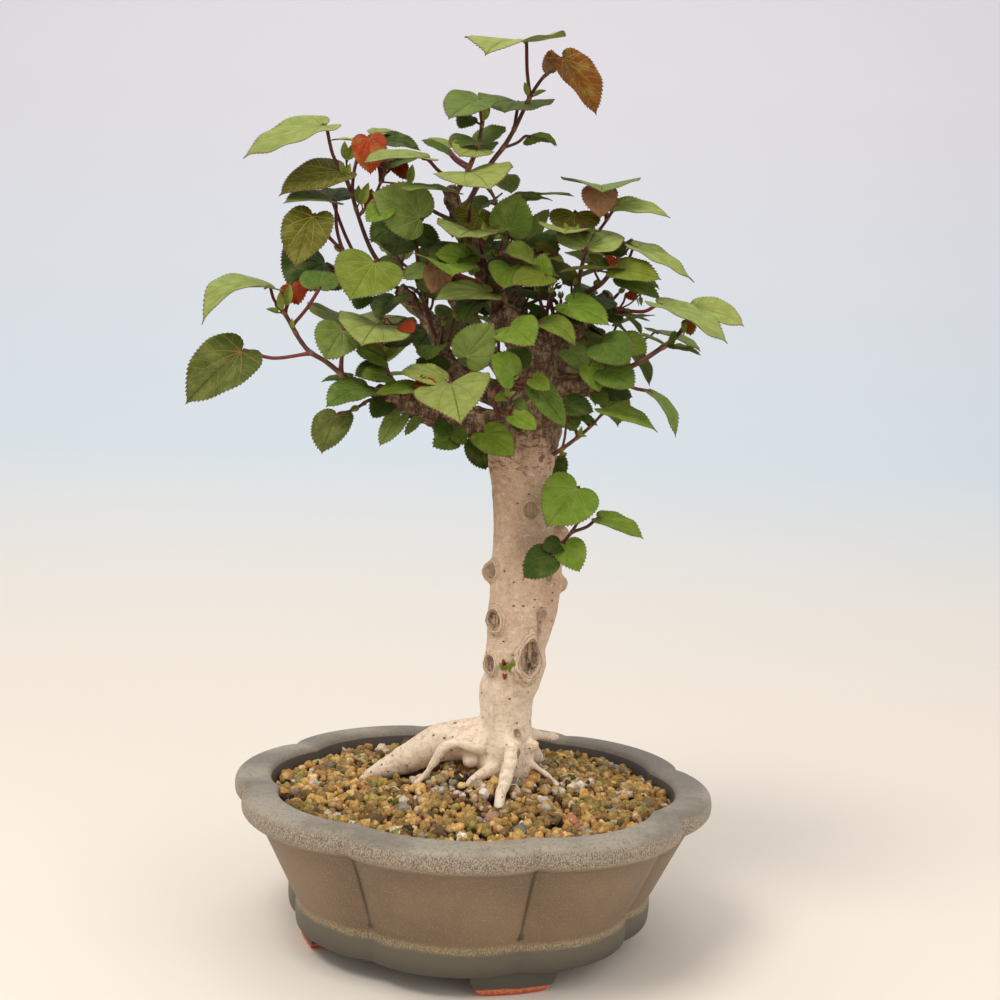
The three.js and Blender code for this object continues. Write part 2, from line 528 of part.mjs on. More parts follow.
function blade(base, tip, frame, width, fold, arch) {
  const length = base.distanceTo(tip);
  const { half, ribs } = bladeForm(length);
  const outline = [[0, 0], ...half, [1, 0], ...half.map(([x, y]) => [x, -y]).reverse()];
  const flat = [...outline, ...ribs.map((x) => [x, 0])];
  const rise = Math.tan(radians(fold));
  const faces = [0.5, -0.5].map((share) => flat.map(([x, y]) => base.clone()
    .addScaledVector(frame.along, x * length)
    .addScaledVector(frame.side, y * width * length * BLADE_SLIMMING)
    .addScaledVector(frame.out, length * (arch * 4 * x * (1 - x) + rise * Math.abs(y) * width)
      + share * BLADE_THICKNESS)));
  const count = flat.length;
  const tipIndex = half.length + 1;
  const ribIndices = [0, ...ribs.map((_, i) => outline.length + i)];
  const reach = (index) => flat[index][0];
  const rightRim = Array.from({ length: tipIndex }, (_, i) => i + 1);
  const leftRim = Array.from({ length: tipIndex }, (_, i) => outline.length - 1 - i);
  const right = halfBladeTriangles(rightRim, ribIndices, reach);
  const left = halfBladeTriangles(leftRim, ribIndices, reach).map(([a, b, c]) => [a, c, b]);
  const upper = [...right, ...left];
  const lower = upper.map(([a, b, c]) => [a + count, c + count, b + count]);
  const edge = outline.flatMap((_, i) => {
    const next = (i + 1) % outline.length;
    return [[i, i + count, next], [next, i + count, next + count]];
  });
  return solidOf(faces.flat(), [...upper, ...lower, ...edge]);
}

function nearestOn(path, place) {
  let best = null;
  for (let i = 0; i < path.length - 1; i += 1) {
    const line = new THREE.Line3(path[i], path[i + 1]);
    const point = line.closestPointToPoint(place, true, new THREE.Vector3());
    const distance = point.distanceTo(place);
    if (!best || distance < best.distance) {
      best = { point, distance, segment: i };
    }
  }
  return best;
}

// Where a leaf's stalk leaves the stems: back from the nearest place by a share of the distance.
function stalkStart(stems, place, share) {
  const nearest = stems.map((path) => ({ path, ...nearestOn(path, place) }))
    .reduce((a, b) => (a.distance <= b.distance ? a : b));
  const back = nearest.path[nearest.segment].clone().sub(nearest.point);
  const slide = STALK_SINK + share * nearest.distance;
  return nearest.point.clone().addScaledVector(back, Math.min(0.95, slide / Math.max(back.length(), 1)));
}

// A leaf's stalk: thin where it enters the blade, and sagging when it is long.
function stalk(start, base, tip, frame, arch) {
  const length = start.distanceTo(base);
  const [firstRib = 1] = bladeForm(base.distanceTo(tip)).ribs;
  const end = base.clone().addScaledVector(frame.along, STALK_ENTRY)
    .addScaledVector(frame.out, STALK_ENTRY * 4 * (1 - firstRib) * arch);
  const radius = PETIOLE_RADIUS * THREE.MathUtils.clamp(length / 14, 0.85, 1.25);
  if (length < LONG_STALK) {
    return limb([start, end], [radius * STALK_FLARE, STALK_TIP_RADIUS], STALK_SIDES);
  }
  const middle = start.clone().lerp(base, 0.55).addScaledVector(upright, -STALK_SAG * length);
  return limb([start, middle, end], [radius * STALK_FLARE, radius, STALK_TIP_RADIUS], STALK_SIDES);
}

function leafSolids(row, stems) {
  const [bu, bv, bd, tu, tv, td, facing, lean, , width, fold = 8, arch = 0.03, from] = row;
  const base = spot([bu, bv, bd]);
  const tip = spot([tu, tv, td]);
  const frame = bladeFrame(base, tip, facing, lean);
  const start = from ? stalkStart(stems, spot(from), 0) : stalkStart(stems, base, STALK_RISE);
  const solid = blade(base, tip, frame, width, fold, arch);
  return start.distanceTo(base) < SITTING ? [solid] : [solid, stalk(start, base, tip, frame, arch)];
}

// Stems

function stemSolid(path, first, last, sides) {
  const radii = path.map((_, i) => THREE.MathUtils.lerp(first, last, i / (path.length - 1)));
  return limb(path, radii, sides);
}

function stemPath(stem) {
  return stem.slice(2).map(spot);
}

function shootSolid(stems, leaves) {
  const paths = stems.map(stemPath);
  const stemSolids = paths.map((path, i) => stemSolid(path, stems[i][0], stems[i][1], STEM_SIDES));
  return joined([...stemSolids, ...leaves.flatMap((row) => leafSolids(row, paths))]);
}

// Far side leaves by rule

function makeDraw(seed) {
  let state = seed;
  return () => {
    state = (state * 1664525 + 1013904223) % 4294967296;
    return state / 4294967296;
  };
}


// Leaves set round a stem in a spiral: each looks outwards from the stem and hangs a little.
function spiralLeaves(path, count, longest, draw) {
  const length = path.slice(1).reduce((sum, point, i) => sum + point.distanceTo(path[i]), 0);
  const heading = path[path.length - 1].clone().sub(path[0]).normalize();
  return Array.from({ length: count }, (_, i) => {
    const share = 0.3 + (0.7 * (i + 1)) / count;
    const start = pointAlong(path, share * length);
    const turn = radians(GOLDEN_TURN * i + 40 * draw());
    const outward = upright.clone().projectOnPlane(heading).normalize().applyAxisAngle(heading, turn);
    outward.addScaledVector(heading, 0.5);
    outward.z *= 0.4;
    outward.normalize();
    const size = longest * (0.7 + 0.3 * draw());
    const base = start.clone().addScaledVector(outward, size * FAR_STALK).addScaledVector(upright, size * 0.15);
    const tip = base.clone().addScaledVector(outward, size).addScaledVector(upright, -size * (0.25 + 0.3 * draw()));
    return { start, base, tip };
  });
}

function pointAlong(path, reach) {
  let left = reach;
  for (let i = 0; i < path.length - 1; i += 1) {
    const step = path[i].distanceTo(path[i + 1]);
    if (left <= step || i === path.length - 2) {
      return path[i].clone().lerp(path[i + 1], Math.min(left / step, 1));
    }
    left -= step;
  }
  return path[path.length - 1].clone();
}

function backShootSolid(stem, count, longest, seed) {
  const path = stemPath(stem);
  const leaves = spiralLeaves(path, count, longest, makeDraw(seed)).flatMap(({ start, base, tip }) => {
    const along = tip.clone().sub(base).normalize();
    const out = upright.clone().projectOnPlane(along).normalize();
    const frame = { along, out, side: along.clone().cross(out) };
    return [blade(base, tip, frame, FAR_WIDTH, FAR_FOLD, FAR_ARCH), stalk(start, base, tip, frame, FAR_ARCH)];
  });
  return joined([stemSolid(path, stem[0], stem[1], STEM_SIDES), ...leaves]);
}

// Wood

// The trunk's middle and radius at a height v, for seating the scars.
function trunkAt(v) {
  const list = WOOD.trunk;
  const i = list.findIndex((entry, k) => k > 0 && entry[1] >= v);
  const share = (v - list[i - 1][1]) / (list[i][1] - list[i - 1][1]);
  return list[i - 1].map((value, k) => THREE.MathUtils.lerp(value, list[i][k], share));
}

function scar([u, v, radius, lip]) {
  const [centreU, , centreD, trunkRadius] = trunkAt(v);
  const across = THREE.MathUtils.clamp((u - centreU) / trunkRadius, -0.92, 0.92);
  const near = Math.sqrt(1 - across * across);
  const middle = spot([centreU + across * trunkRadius, v, centreD + near * trunkRadius]);
  const centre = spot([centreU, v, centreD]);
  const outward = middle.clone().sub(centre).setZ(0).normalize();
  const profile = [[0, -3], [radius * 1.15, -3], [radius * 0.85, lip], [radius * 0.5, lip * 0.5], [0, -0.4]]
    .map(([x, y]) => new THREE.Vector2(x, y));
  const geometry = new THREE.LatheGeometry(profile, 7);
  geometry.applyQuaternion(new THREE.Quaternion().setFromUnitVectors(new THREE.Vector3(0, 1, 0), outward));
  geometry.translate(middle.x, middle.y, middle.z);
  return solidFrom(geometry);
}

function wood(swell = 0) {
  const { trunk, ...branches } = WOOD;
  const limbs = Object.values(branches).map((list) => listedLimb(list, LIMB_SIDES, swell));
  const roots = ROOTS.map((list) => listedLimb(list, LIMB_SIDES, swell));
  const bumps = BUMPS.map((bump) => ball(bump, swell));
  return joined([listedLimb(trunk, TRUNK_SIDES, swell), ...limbs, ...roots, ...bumps, ...SCARS.map(scar)]);
}

// Pot

// One level of the pot: lobes that bulge out between the notches of a circle.
function potRing(share, height, inset = 0) {
  const span = 360 / LOBES;
  return Array.from({ length: LOBES * LOBE_STEPS }, (_, i) => {
    const along = (i % LOBE_STEPS) / LOBE_STEPS;
    const bulge = LOBE_BULGE * (1 - Math.abs(2 * along - 1) ** 2.2);
    const angle = radians(FIRST_NOTCH + (span * i) / LOBE_STEPS);
    const radius = POT_RADIUS * (1 + bulge) * share - inset;
    return new THREE.Vector3(radius * Math.cos(angle), radius * Math.sin(angle), height);
  });
}

// A foot under a notch, as thick as the band above it.
function foot(middle) {
  const arc = (share, from, to, height) => Array.from({ length: 5 }, (_, i) => {
    const angle = radians(THREE.MathUtils.lerp(from, to, i / 4));
    return new THREE.Vector3(Math.cos(angle), Math.sin(angle), 0).multiplyScalar(POT_RADIUS * share).setZ(height);
  });
  return loft(FOOT_SECTION.map(([outer, inner, height]) => [
    ...arc(outer, middle - FOOT_SPREAD, middle + FOOT_SPREAD, height),
    ...arc(inner, middle + FOOT_SPREAD, middle - FOOT_SPREAD, height),
  ]));
}

function drainHole(x) {
  const geometry = new THREE.CylinderGeometry(DRAIN_RADIUS, DRAIN_RADIUS, 2 * FLOOR_TOP, DRAIN_SIDES);
  return solidFrom(geometry.rotateX(Math.PI / 2).translate(x, 0, FLOOR_TOP));
}

function pot() {
  const walls = [...OUTER_SECTION, ...INNER_SECTION].map(([share, height]) => potRing(share, height));
  const feet = Array.from({ length: FEET }, (_, i) => foot(FIRST_NOTCH + (360 * i) / FEET));
  const whole = joined([loft(walls), ...feet]);
  return whole.subtract(drainHole(-DRAIN_OFFSET)).subtract(drainHole(DRAIN_OFFSET));
}

// Soil

function soilHeight(x, y) {
  const distance = Math.hypot(x - TRUNK_FOOT[0], y - TRUNK_FOOT[1]);
  const mound = MOUND_RISE * Math.exp(-((distance / MOUND_REACH) ** 2));
  const crumb = Math.sin(x * 0.31 + 1.3) * Math.cos(y * 0.27) + Math.sin(x * 0.13 - y * 0.19);
  return SOIL_EDGE + mound + 0.6 * crumb;
}

function soil(woodRoom) {
  const walls = SOIL_SECTION.map(([share, height]) => potRing(share, height, WALL_GAP));
  const edge = walls[walls.length - 1];
  const surface = SOIL_RINGS.map((share) => edge.map((point) => {
    const [x, y] = [point.x * share, point.y * share];
    return new THREE.Vector3(x, y, soilHeight(x, y));
  }));
  const top = new THREE.Vector3(0, 0, soilHeight(0, 0));
  const rings = [...walls, ...surface];
  const count = edge.length;
  const last = (rings.length - 1) * count;
  const cap = edge.map((_, i) => [last + i, last + (i + 1) % count, last + count]);
  const filling = solidOf([...rings.flat(), top], [...skin(rings), ...cap]);
  const screens = [-DRAIN_OFFSET, DRAIN_OFFSET].map((x) => {
    const side = MESH_SIDE + 2 * GAP;
    const geometry = new THREE.BoxGeometry(side, side, 2 * (MESH_THICKNESS + 2 * GAP));
    return solidFrom(geometry.translate(x, 0, FLOOR_TOP));
  });
  return [woodRoom, ...screens].reduce((rest, hole) => rest.subtract(hole), filling);
}

// A square plastic screen over a drain hole.
function drainMesh(x) {
  const geometry = new THREE.BoxGeometry(MESH_SIDE, MESH_SIDE, MESH_THICKNESS);
  let screen = solidFrom(geometry.translate(x, 0, FLOOR_TOP + GAP + MESH_THICKNESS / 2));
  for (const i of [-1, 1]) {
    for (const j of [-1, 1]) {
      const hole = new THREE.BoxGeometry(MESH_HOLE, MESH_HOLE, 4 * MESH_THICKNESS);
      screen = screen.subtract(solidFrom(hole.translate(x + i * MESH_PITCH, j * MESH_PITCH, FLOOR_TOP + GAP)));
    }
  }
  return screen;
}

// Assembly

function wholeTree() {
  const tree = new THREE.Group();
  const woodRoom = wood(GAP);
  tree.add(meshOf("pot", pot(), COLOURS.glaze));
  tree.add(meshOf("soil", soil(woodRoom), COLOURS.soil));
  tree.add(meshOf("trunk", wood(), COLOURS.bark));
  tree.add(meshOf("drain_mesh_left", drainMesh(-DRAIN_OFFSET), COLOURS.plastic));
  tree.add(meshOf("drain_mesh_right", drainMesh(DRAIN_OFFSET), COLOURS.plastic));
  for (const [name, stems, leaves] of SHOOTS) {
    tree.add(meshOf(name, shootSolid(stems, leaves).subtract(woodRoom), COLOURS.leaf));
  }
  BACK_SHOOTS.forEach(([name, stem, count, longest], i) => {
    tree.add(meshOf(name, backShootSolid(stem, count, longest, i + 1).subtract(woodRoom), COLOURS.leaf));
  });
  return tree;
}

// Puts the middle of the whole footprint on the origin.
function centred(tree) {
  const middle = new THREE.Box3().setFromObject(tree).getCenter(new THREE.Vector3());
  for (const mesh of tree.children) {
    mesh.geometry.translate(-middle.x, -middle.y, 0);
  }
  return tree;
}

aimSight();

export default centred(wholeTree());
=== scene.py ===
"""A sea hibiscus grown as a bonsai: leaves, bark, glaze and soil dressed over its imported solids.

Lengths are in millimetres until a mesh is made, and in metres from there on.
"""
import math

import bpy
import numpy as np
from mathutils import Matrix, Vector, noise


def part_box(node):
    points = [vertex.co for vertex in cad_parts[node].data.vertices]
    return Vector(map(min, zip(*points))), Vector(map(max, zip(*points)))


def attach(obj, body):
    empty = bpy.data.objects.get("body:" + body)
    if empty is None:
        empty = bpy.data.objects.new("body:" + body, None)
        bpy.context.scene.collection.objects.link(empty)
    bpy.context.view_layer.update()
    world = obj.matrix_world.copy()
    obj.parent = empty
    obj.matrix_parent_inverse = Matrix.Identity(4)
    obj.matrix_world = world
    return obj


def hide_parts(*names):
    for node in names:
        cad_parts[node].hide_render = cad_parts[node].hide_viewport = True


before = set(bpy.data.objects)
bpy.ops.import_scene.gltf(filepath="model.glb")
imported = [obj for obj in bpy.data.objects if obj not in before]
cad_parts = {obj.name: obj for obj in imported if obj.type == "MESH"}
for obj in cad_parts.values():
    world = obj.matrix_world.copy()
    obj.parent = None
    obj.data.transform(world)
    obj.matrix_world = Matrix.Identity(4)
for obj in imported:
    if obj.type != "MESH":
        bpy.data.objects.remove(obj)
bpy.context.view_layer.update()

bl_info = {
    "name": "Sea hibiscus bonsai",
    "version": (1, 0, 0),
    "blender": (4, 5, 0),
    "location": "3D View > Sidebar > Bonsai",
    "description": "Dresses the solids of a small potted tree with leaves, bark, glaze and soil",
    "category": "Add Mesh",
}

MM = 0.001

# The pot's driving sizes, as in its solid.
POT_RADIUS = 115.7
POT_HEIGHT = 78.5
LOBES = 8
FIRST_NOTCH = 22.5
LOBE_BULGE = 0.05
LOBE_LENGTH = 88
NOTCH_CROWDING = 0.65
FEET = 4
FOOT_SPREAD = 14
FOOT_STEPS = 24
FLOOR_TOP = 18.5
DRAIN_RADIUS = 9
DRAIN_OFFSET = 45
WALL_GAP = 0.45

# Half sections of the pot, and of a foot with its outer and inner face: how far out, as shares of the
# notches' circle, and how high.
OUTER_SECTION = [
    (0.725, 10.5), (0.752, 11), (0.764, 13.5), (0.766, 22.5), (0.76, 24.6), (0.765, 26.5), (0.784, 30),
    (0.921, 63.2), (0.938, 65.2), (0.972, 66.6), (0.998, 69.3), (1.003, 72), (1.002, 75.2), (0.994, 77.4),
    (0.975, POT_HEIGHT),
]
INNER_SECTION = [(0.872, POT_HEIGHT), (0.855, 77.6), (0.845, 74.5), (0.765, 28.5), (0.7, FLOOR_TOP)]
FOOT_SECTION = [(0.722, 0.603, 0), (0.735, 0.592, 2.2), (0.74, 0.585, 12.5)]

# The soil: how high its edge is, as what share of the notches' circle it ends, and its mound.
SOIL_EDGE = 71.5
SOIL_SHARE = 0.8395
SOIL_STEPS = 12
MOUND_RISE = 15
MOUND_REACH = 50
TRUNK_FOOT = (12, 0)

# The fine earth lies a little under the grains, which end short of the wall and are paler by the trunk.
EARTH_FLOOR = FLOOR_TOP + 0.35
EARTH_DEPTH = 2.2
EARTH_SECTION = [(0.7, EARTH_FLOOR), (0.765, 28.5), (SOIL_SHARE, SOIL_EDGE - EARTH_DEPTH)]
GRAIN_INSET = 2.4
PALE_REACH = 46

# The upright plane through the trunk, as it is seen from the front: u to the right, v up from its middle,
# and d towards the viewer along the line of sight.
EYE_PLACE = (-1.8, -659.9, 256.9)
PLANE_DISTANCE = 651
SIGHT_DIP = 3.12
SIGHT_TURN = 0.86
SIGHT_ROLL = 2.4
POT_TURN = 6.8
PICTURE_SIDE = 1000
FOCAL_PIXELS = 1302
SENSOR = 36
LAMP_AIM = 0.25

BLADE_SLIMMING = 0.92
PETIOLE_RADIUS = 0.92
STEM_SLIMMING = 0.66
LONG_STALK = 22
STALK_SINK = 1
STALK_RISE = 0.3
SITTING = 0.6
GOLDEN_TURN = 137.5
BUD_LENGTH = 4.2
LEAF_CREASE = 60
TRUNK_SIDES = 30
LIMB_SIDES = 16
ROOT_SIDES = 14
STEM_SIDES = 10
STALK_SIDES = 7

# Where the main veins start round the stalk, in radians from the midrib, and how they bend outwards.
VEIN_ANGLES = (0, 0.5, 1.02, 1.7)
VEIN_BEND = 0.24

# Half outlines of a heart-shaped blade and of a stipule, from the tip round to the stalk, in blade lengths.
HEART = [
    (1, 0), (0.96, 0.02), (0.91, 0.07), (0.84, 0.16), (0.74, 0.275), (0.62, 0.375), (0.48, 0.45),
    (0.32, 0.495), (0.14, 0.5), (-0.02, 0.45), (-0.12, 0.345), (-0.155, 0.215), (-0.115, 0.095),
    (-0.03, 0.02),
]
SPEAR = [(1, 0), (0.8, 0.1), (0.5, 0.19), (0.2, 0.17), (0.05, 0.07), (0, 0.02)]

# Wood: each limb is a list of [u, v, d, radius].
WOOD = {
    "trunk": [
        [1.5, -148, -12, 12], [2.3, -128, -12, 15.2], [2.7, -108, -10, 13.3], [3.5, -95, -9, 13.8],
        [6, -89, -8, 14.2], [7.3, -81, -7, 16.1], [8, -73, -6, 14.8], [10, -62, -6, 16.6],
        [12.8, -44, -6, 17.8], [13.2, -28, -6, 17.8], [11.4, -14, -6, 14.8], [10.8, 4, -6, 14.7],
        [11, 24, -6, 17.6], [13, 33, -6, 17.5], [17, 44, -6, 16], [20, 56, -6, 14], [19, 68, -5, 12],
        [12, 80, -3, 10], [3, 90, 0, 8], [-3, 95, 3, 6.5],
    ],
    "leader": [
        [3, 88, -1, 6], [-2, 103, -2, 5.4], [-10, 118, -2, 5], [-18, 133, -1, 4.8], [-23, 147, 0, 4.6],
        [-25.5, 157, 0, 4],
    ],
    "low_left": [
        [12, 30, -2, 10], [-6, 36.5, 4, 9], [-20, 40, 9, 7.8], [-34, 43.5, 13, 6.8], [-46, 47.5, 16, 6],
        [-56, 52, 17, 5], [-62, 55.5, 17, 3.6],
    ],
    "upper_left": [
        [10, 46, -6, 8], [-12, 58, -8, 6.4], [-25, 66, -9, 5.8], [-30, 77, -10, 5.3], [-34, 88, -10, 4.8],
        [-43, 98, -10, 4.4], [-51, 106, -8, 3.8],
    ],
    "right": [[18, 54, -4, 9], [31, 57, 0, 7], [40, 57, 4, 6], [47, 55, 7, 4.2]],
    "upper_right": [
        [20, 62, -8, 7], [31, 77, -12, 5.6], [42, 89, -11, 4.9], [51, 99, -8, 4.4], [55, 103, -6, 3.6],
    ],
    "middle_right": [[16, 74, -6, 5.5], [26, 86, -6, 4.4], [35, 96, -5, 3.8], [40, 101, -3, 3]],
    "back_left": [[12, 52, -14, 7], [-4, 72, -34, 5], [-18, 90, -48, 3.8], [-26, 104, -56, 2.8]],
    "back_right": [[20, 48, -14, 7], [30, 64, -36, 5], [38, 84, -52, 3.8], [40, 100, -60, 2.8]],
    "back_middle": [[12, 80, -10, 5], [10, 98, -28, 4], [6, 116, -40, 3], [4, 130, -46, 2.4]],
}
ROOTS = [
    [[4, -118, -10, 12], [-12, -119, -12, 11], [-28, -121, -16, 9.8], [-42, -127, -20, 8.4],
     [-54, -133, -24, 6.4], [-65, -138, -27, 3.6], [-72, -143, -28, 2]],
    [[-3, -124, -4, 4], [-12, -124, -1, 3], [-21, -121.5, 0, 2.7], [-28.5, -124, 0, 2.6],
     [-33, -131, 0, 2.2], [-38, -138, 0, 1.8], [-44, -144, -1, 1.5], [-48, -151, -2, 1.3]],
    [[7, -118, 0, 5], [6, -126, 6, 4.1], [4.5, -134, 13, 3.5], [2, -142, 20, 3.1], [0, -149, 26, 2.8],
     [-1, -158, 32, 2.1]],
    [[2, -132, -2, 5], [-6, -136, 2, 3.6], [-13, -140, 5, 2.8], [-19, -147, 7, 2]],
    [[12, -129, -6, 2.6], [18, -133.5, -5, 1.9], [25, -139, -5, 1.6], [32, -147, -5, 1.4]],
    [[10, -116, -14, 5], [18, -117, -16, 3], [25, -118, -18, 2.1], [29.5, -118.5, -19, 1.3]],
    [[10, -124, -16, 8], [16, -128, -38, 5.6], [20, -136, -62, 2.6]],
    [[2, -122, -20, 8], [-8, -124, -34, 6], [-16, -127, -48, 4.4], [-20, -134, -60, 2.6]],
]
# Bumps on the wood: [u, v, d, radius].
BUMPS = [
    [-3.5, -35.5, -5, 6.2], [30, -17, -8, 4.6], [30, -42, -8, 4.4], [16.5, -123, -4, 3.2],
    [-15, -130, -5, 4], [3, 87, 4, 6],
]

# Scars of old cuts: u, v, half width, half height, how far the lip stands out, how deep and how dark.
SCARS = [
    (15.4, -5.2, 4.2, 5.2, 0.7, 0.3, 0.35),
    (-2.8, -59.8, 5.2, 6.2, 1.5, 1.6, 0.95),
    (-5, -81.7, 4.2, 5, 1.2, 1.2, 0.8),
    (14.6, -78.6, 6, 11.2, 1.7, 1.8, 0.95),
    (-4.2, -35.4, 4.4, 4.8, 0.9, 0.6, 0.4),
    (8, -116.5, 2.6, 2.4, 0.5, 0.6, 0.75),
    (24, -38, 2.6, 3.4, 0.4, 0.4, 0.4),
    (7.2, -126, 1.7, 4, 0.4, 0.3, 0.4),
    (21, -57, 2.4, 2.8, 0.5, 0.3, 0.35),
]
CRACK = [(19.5, -70), (20, -62), (18.5, -55)]

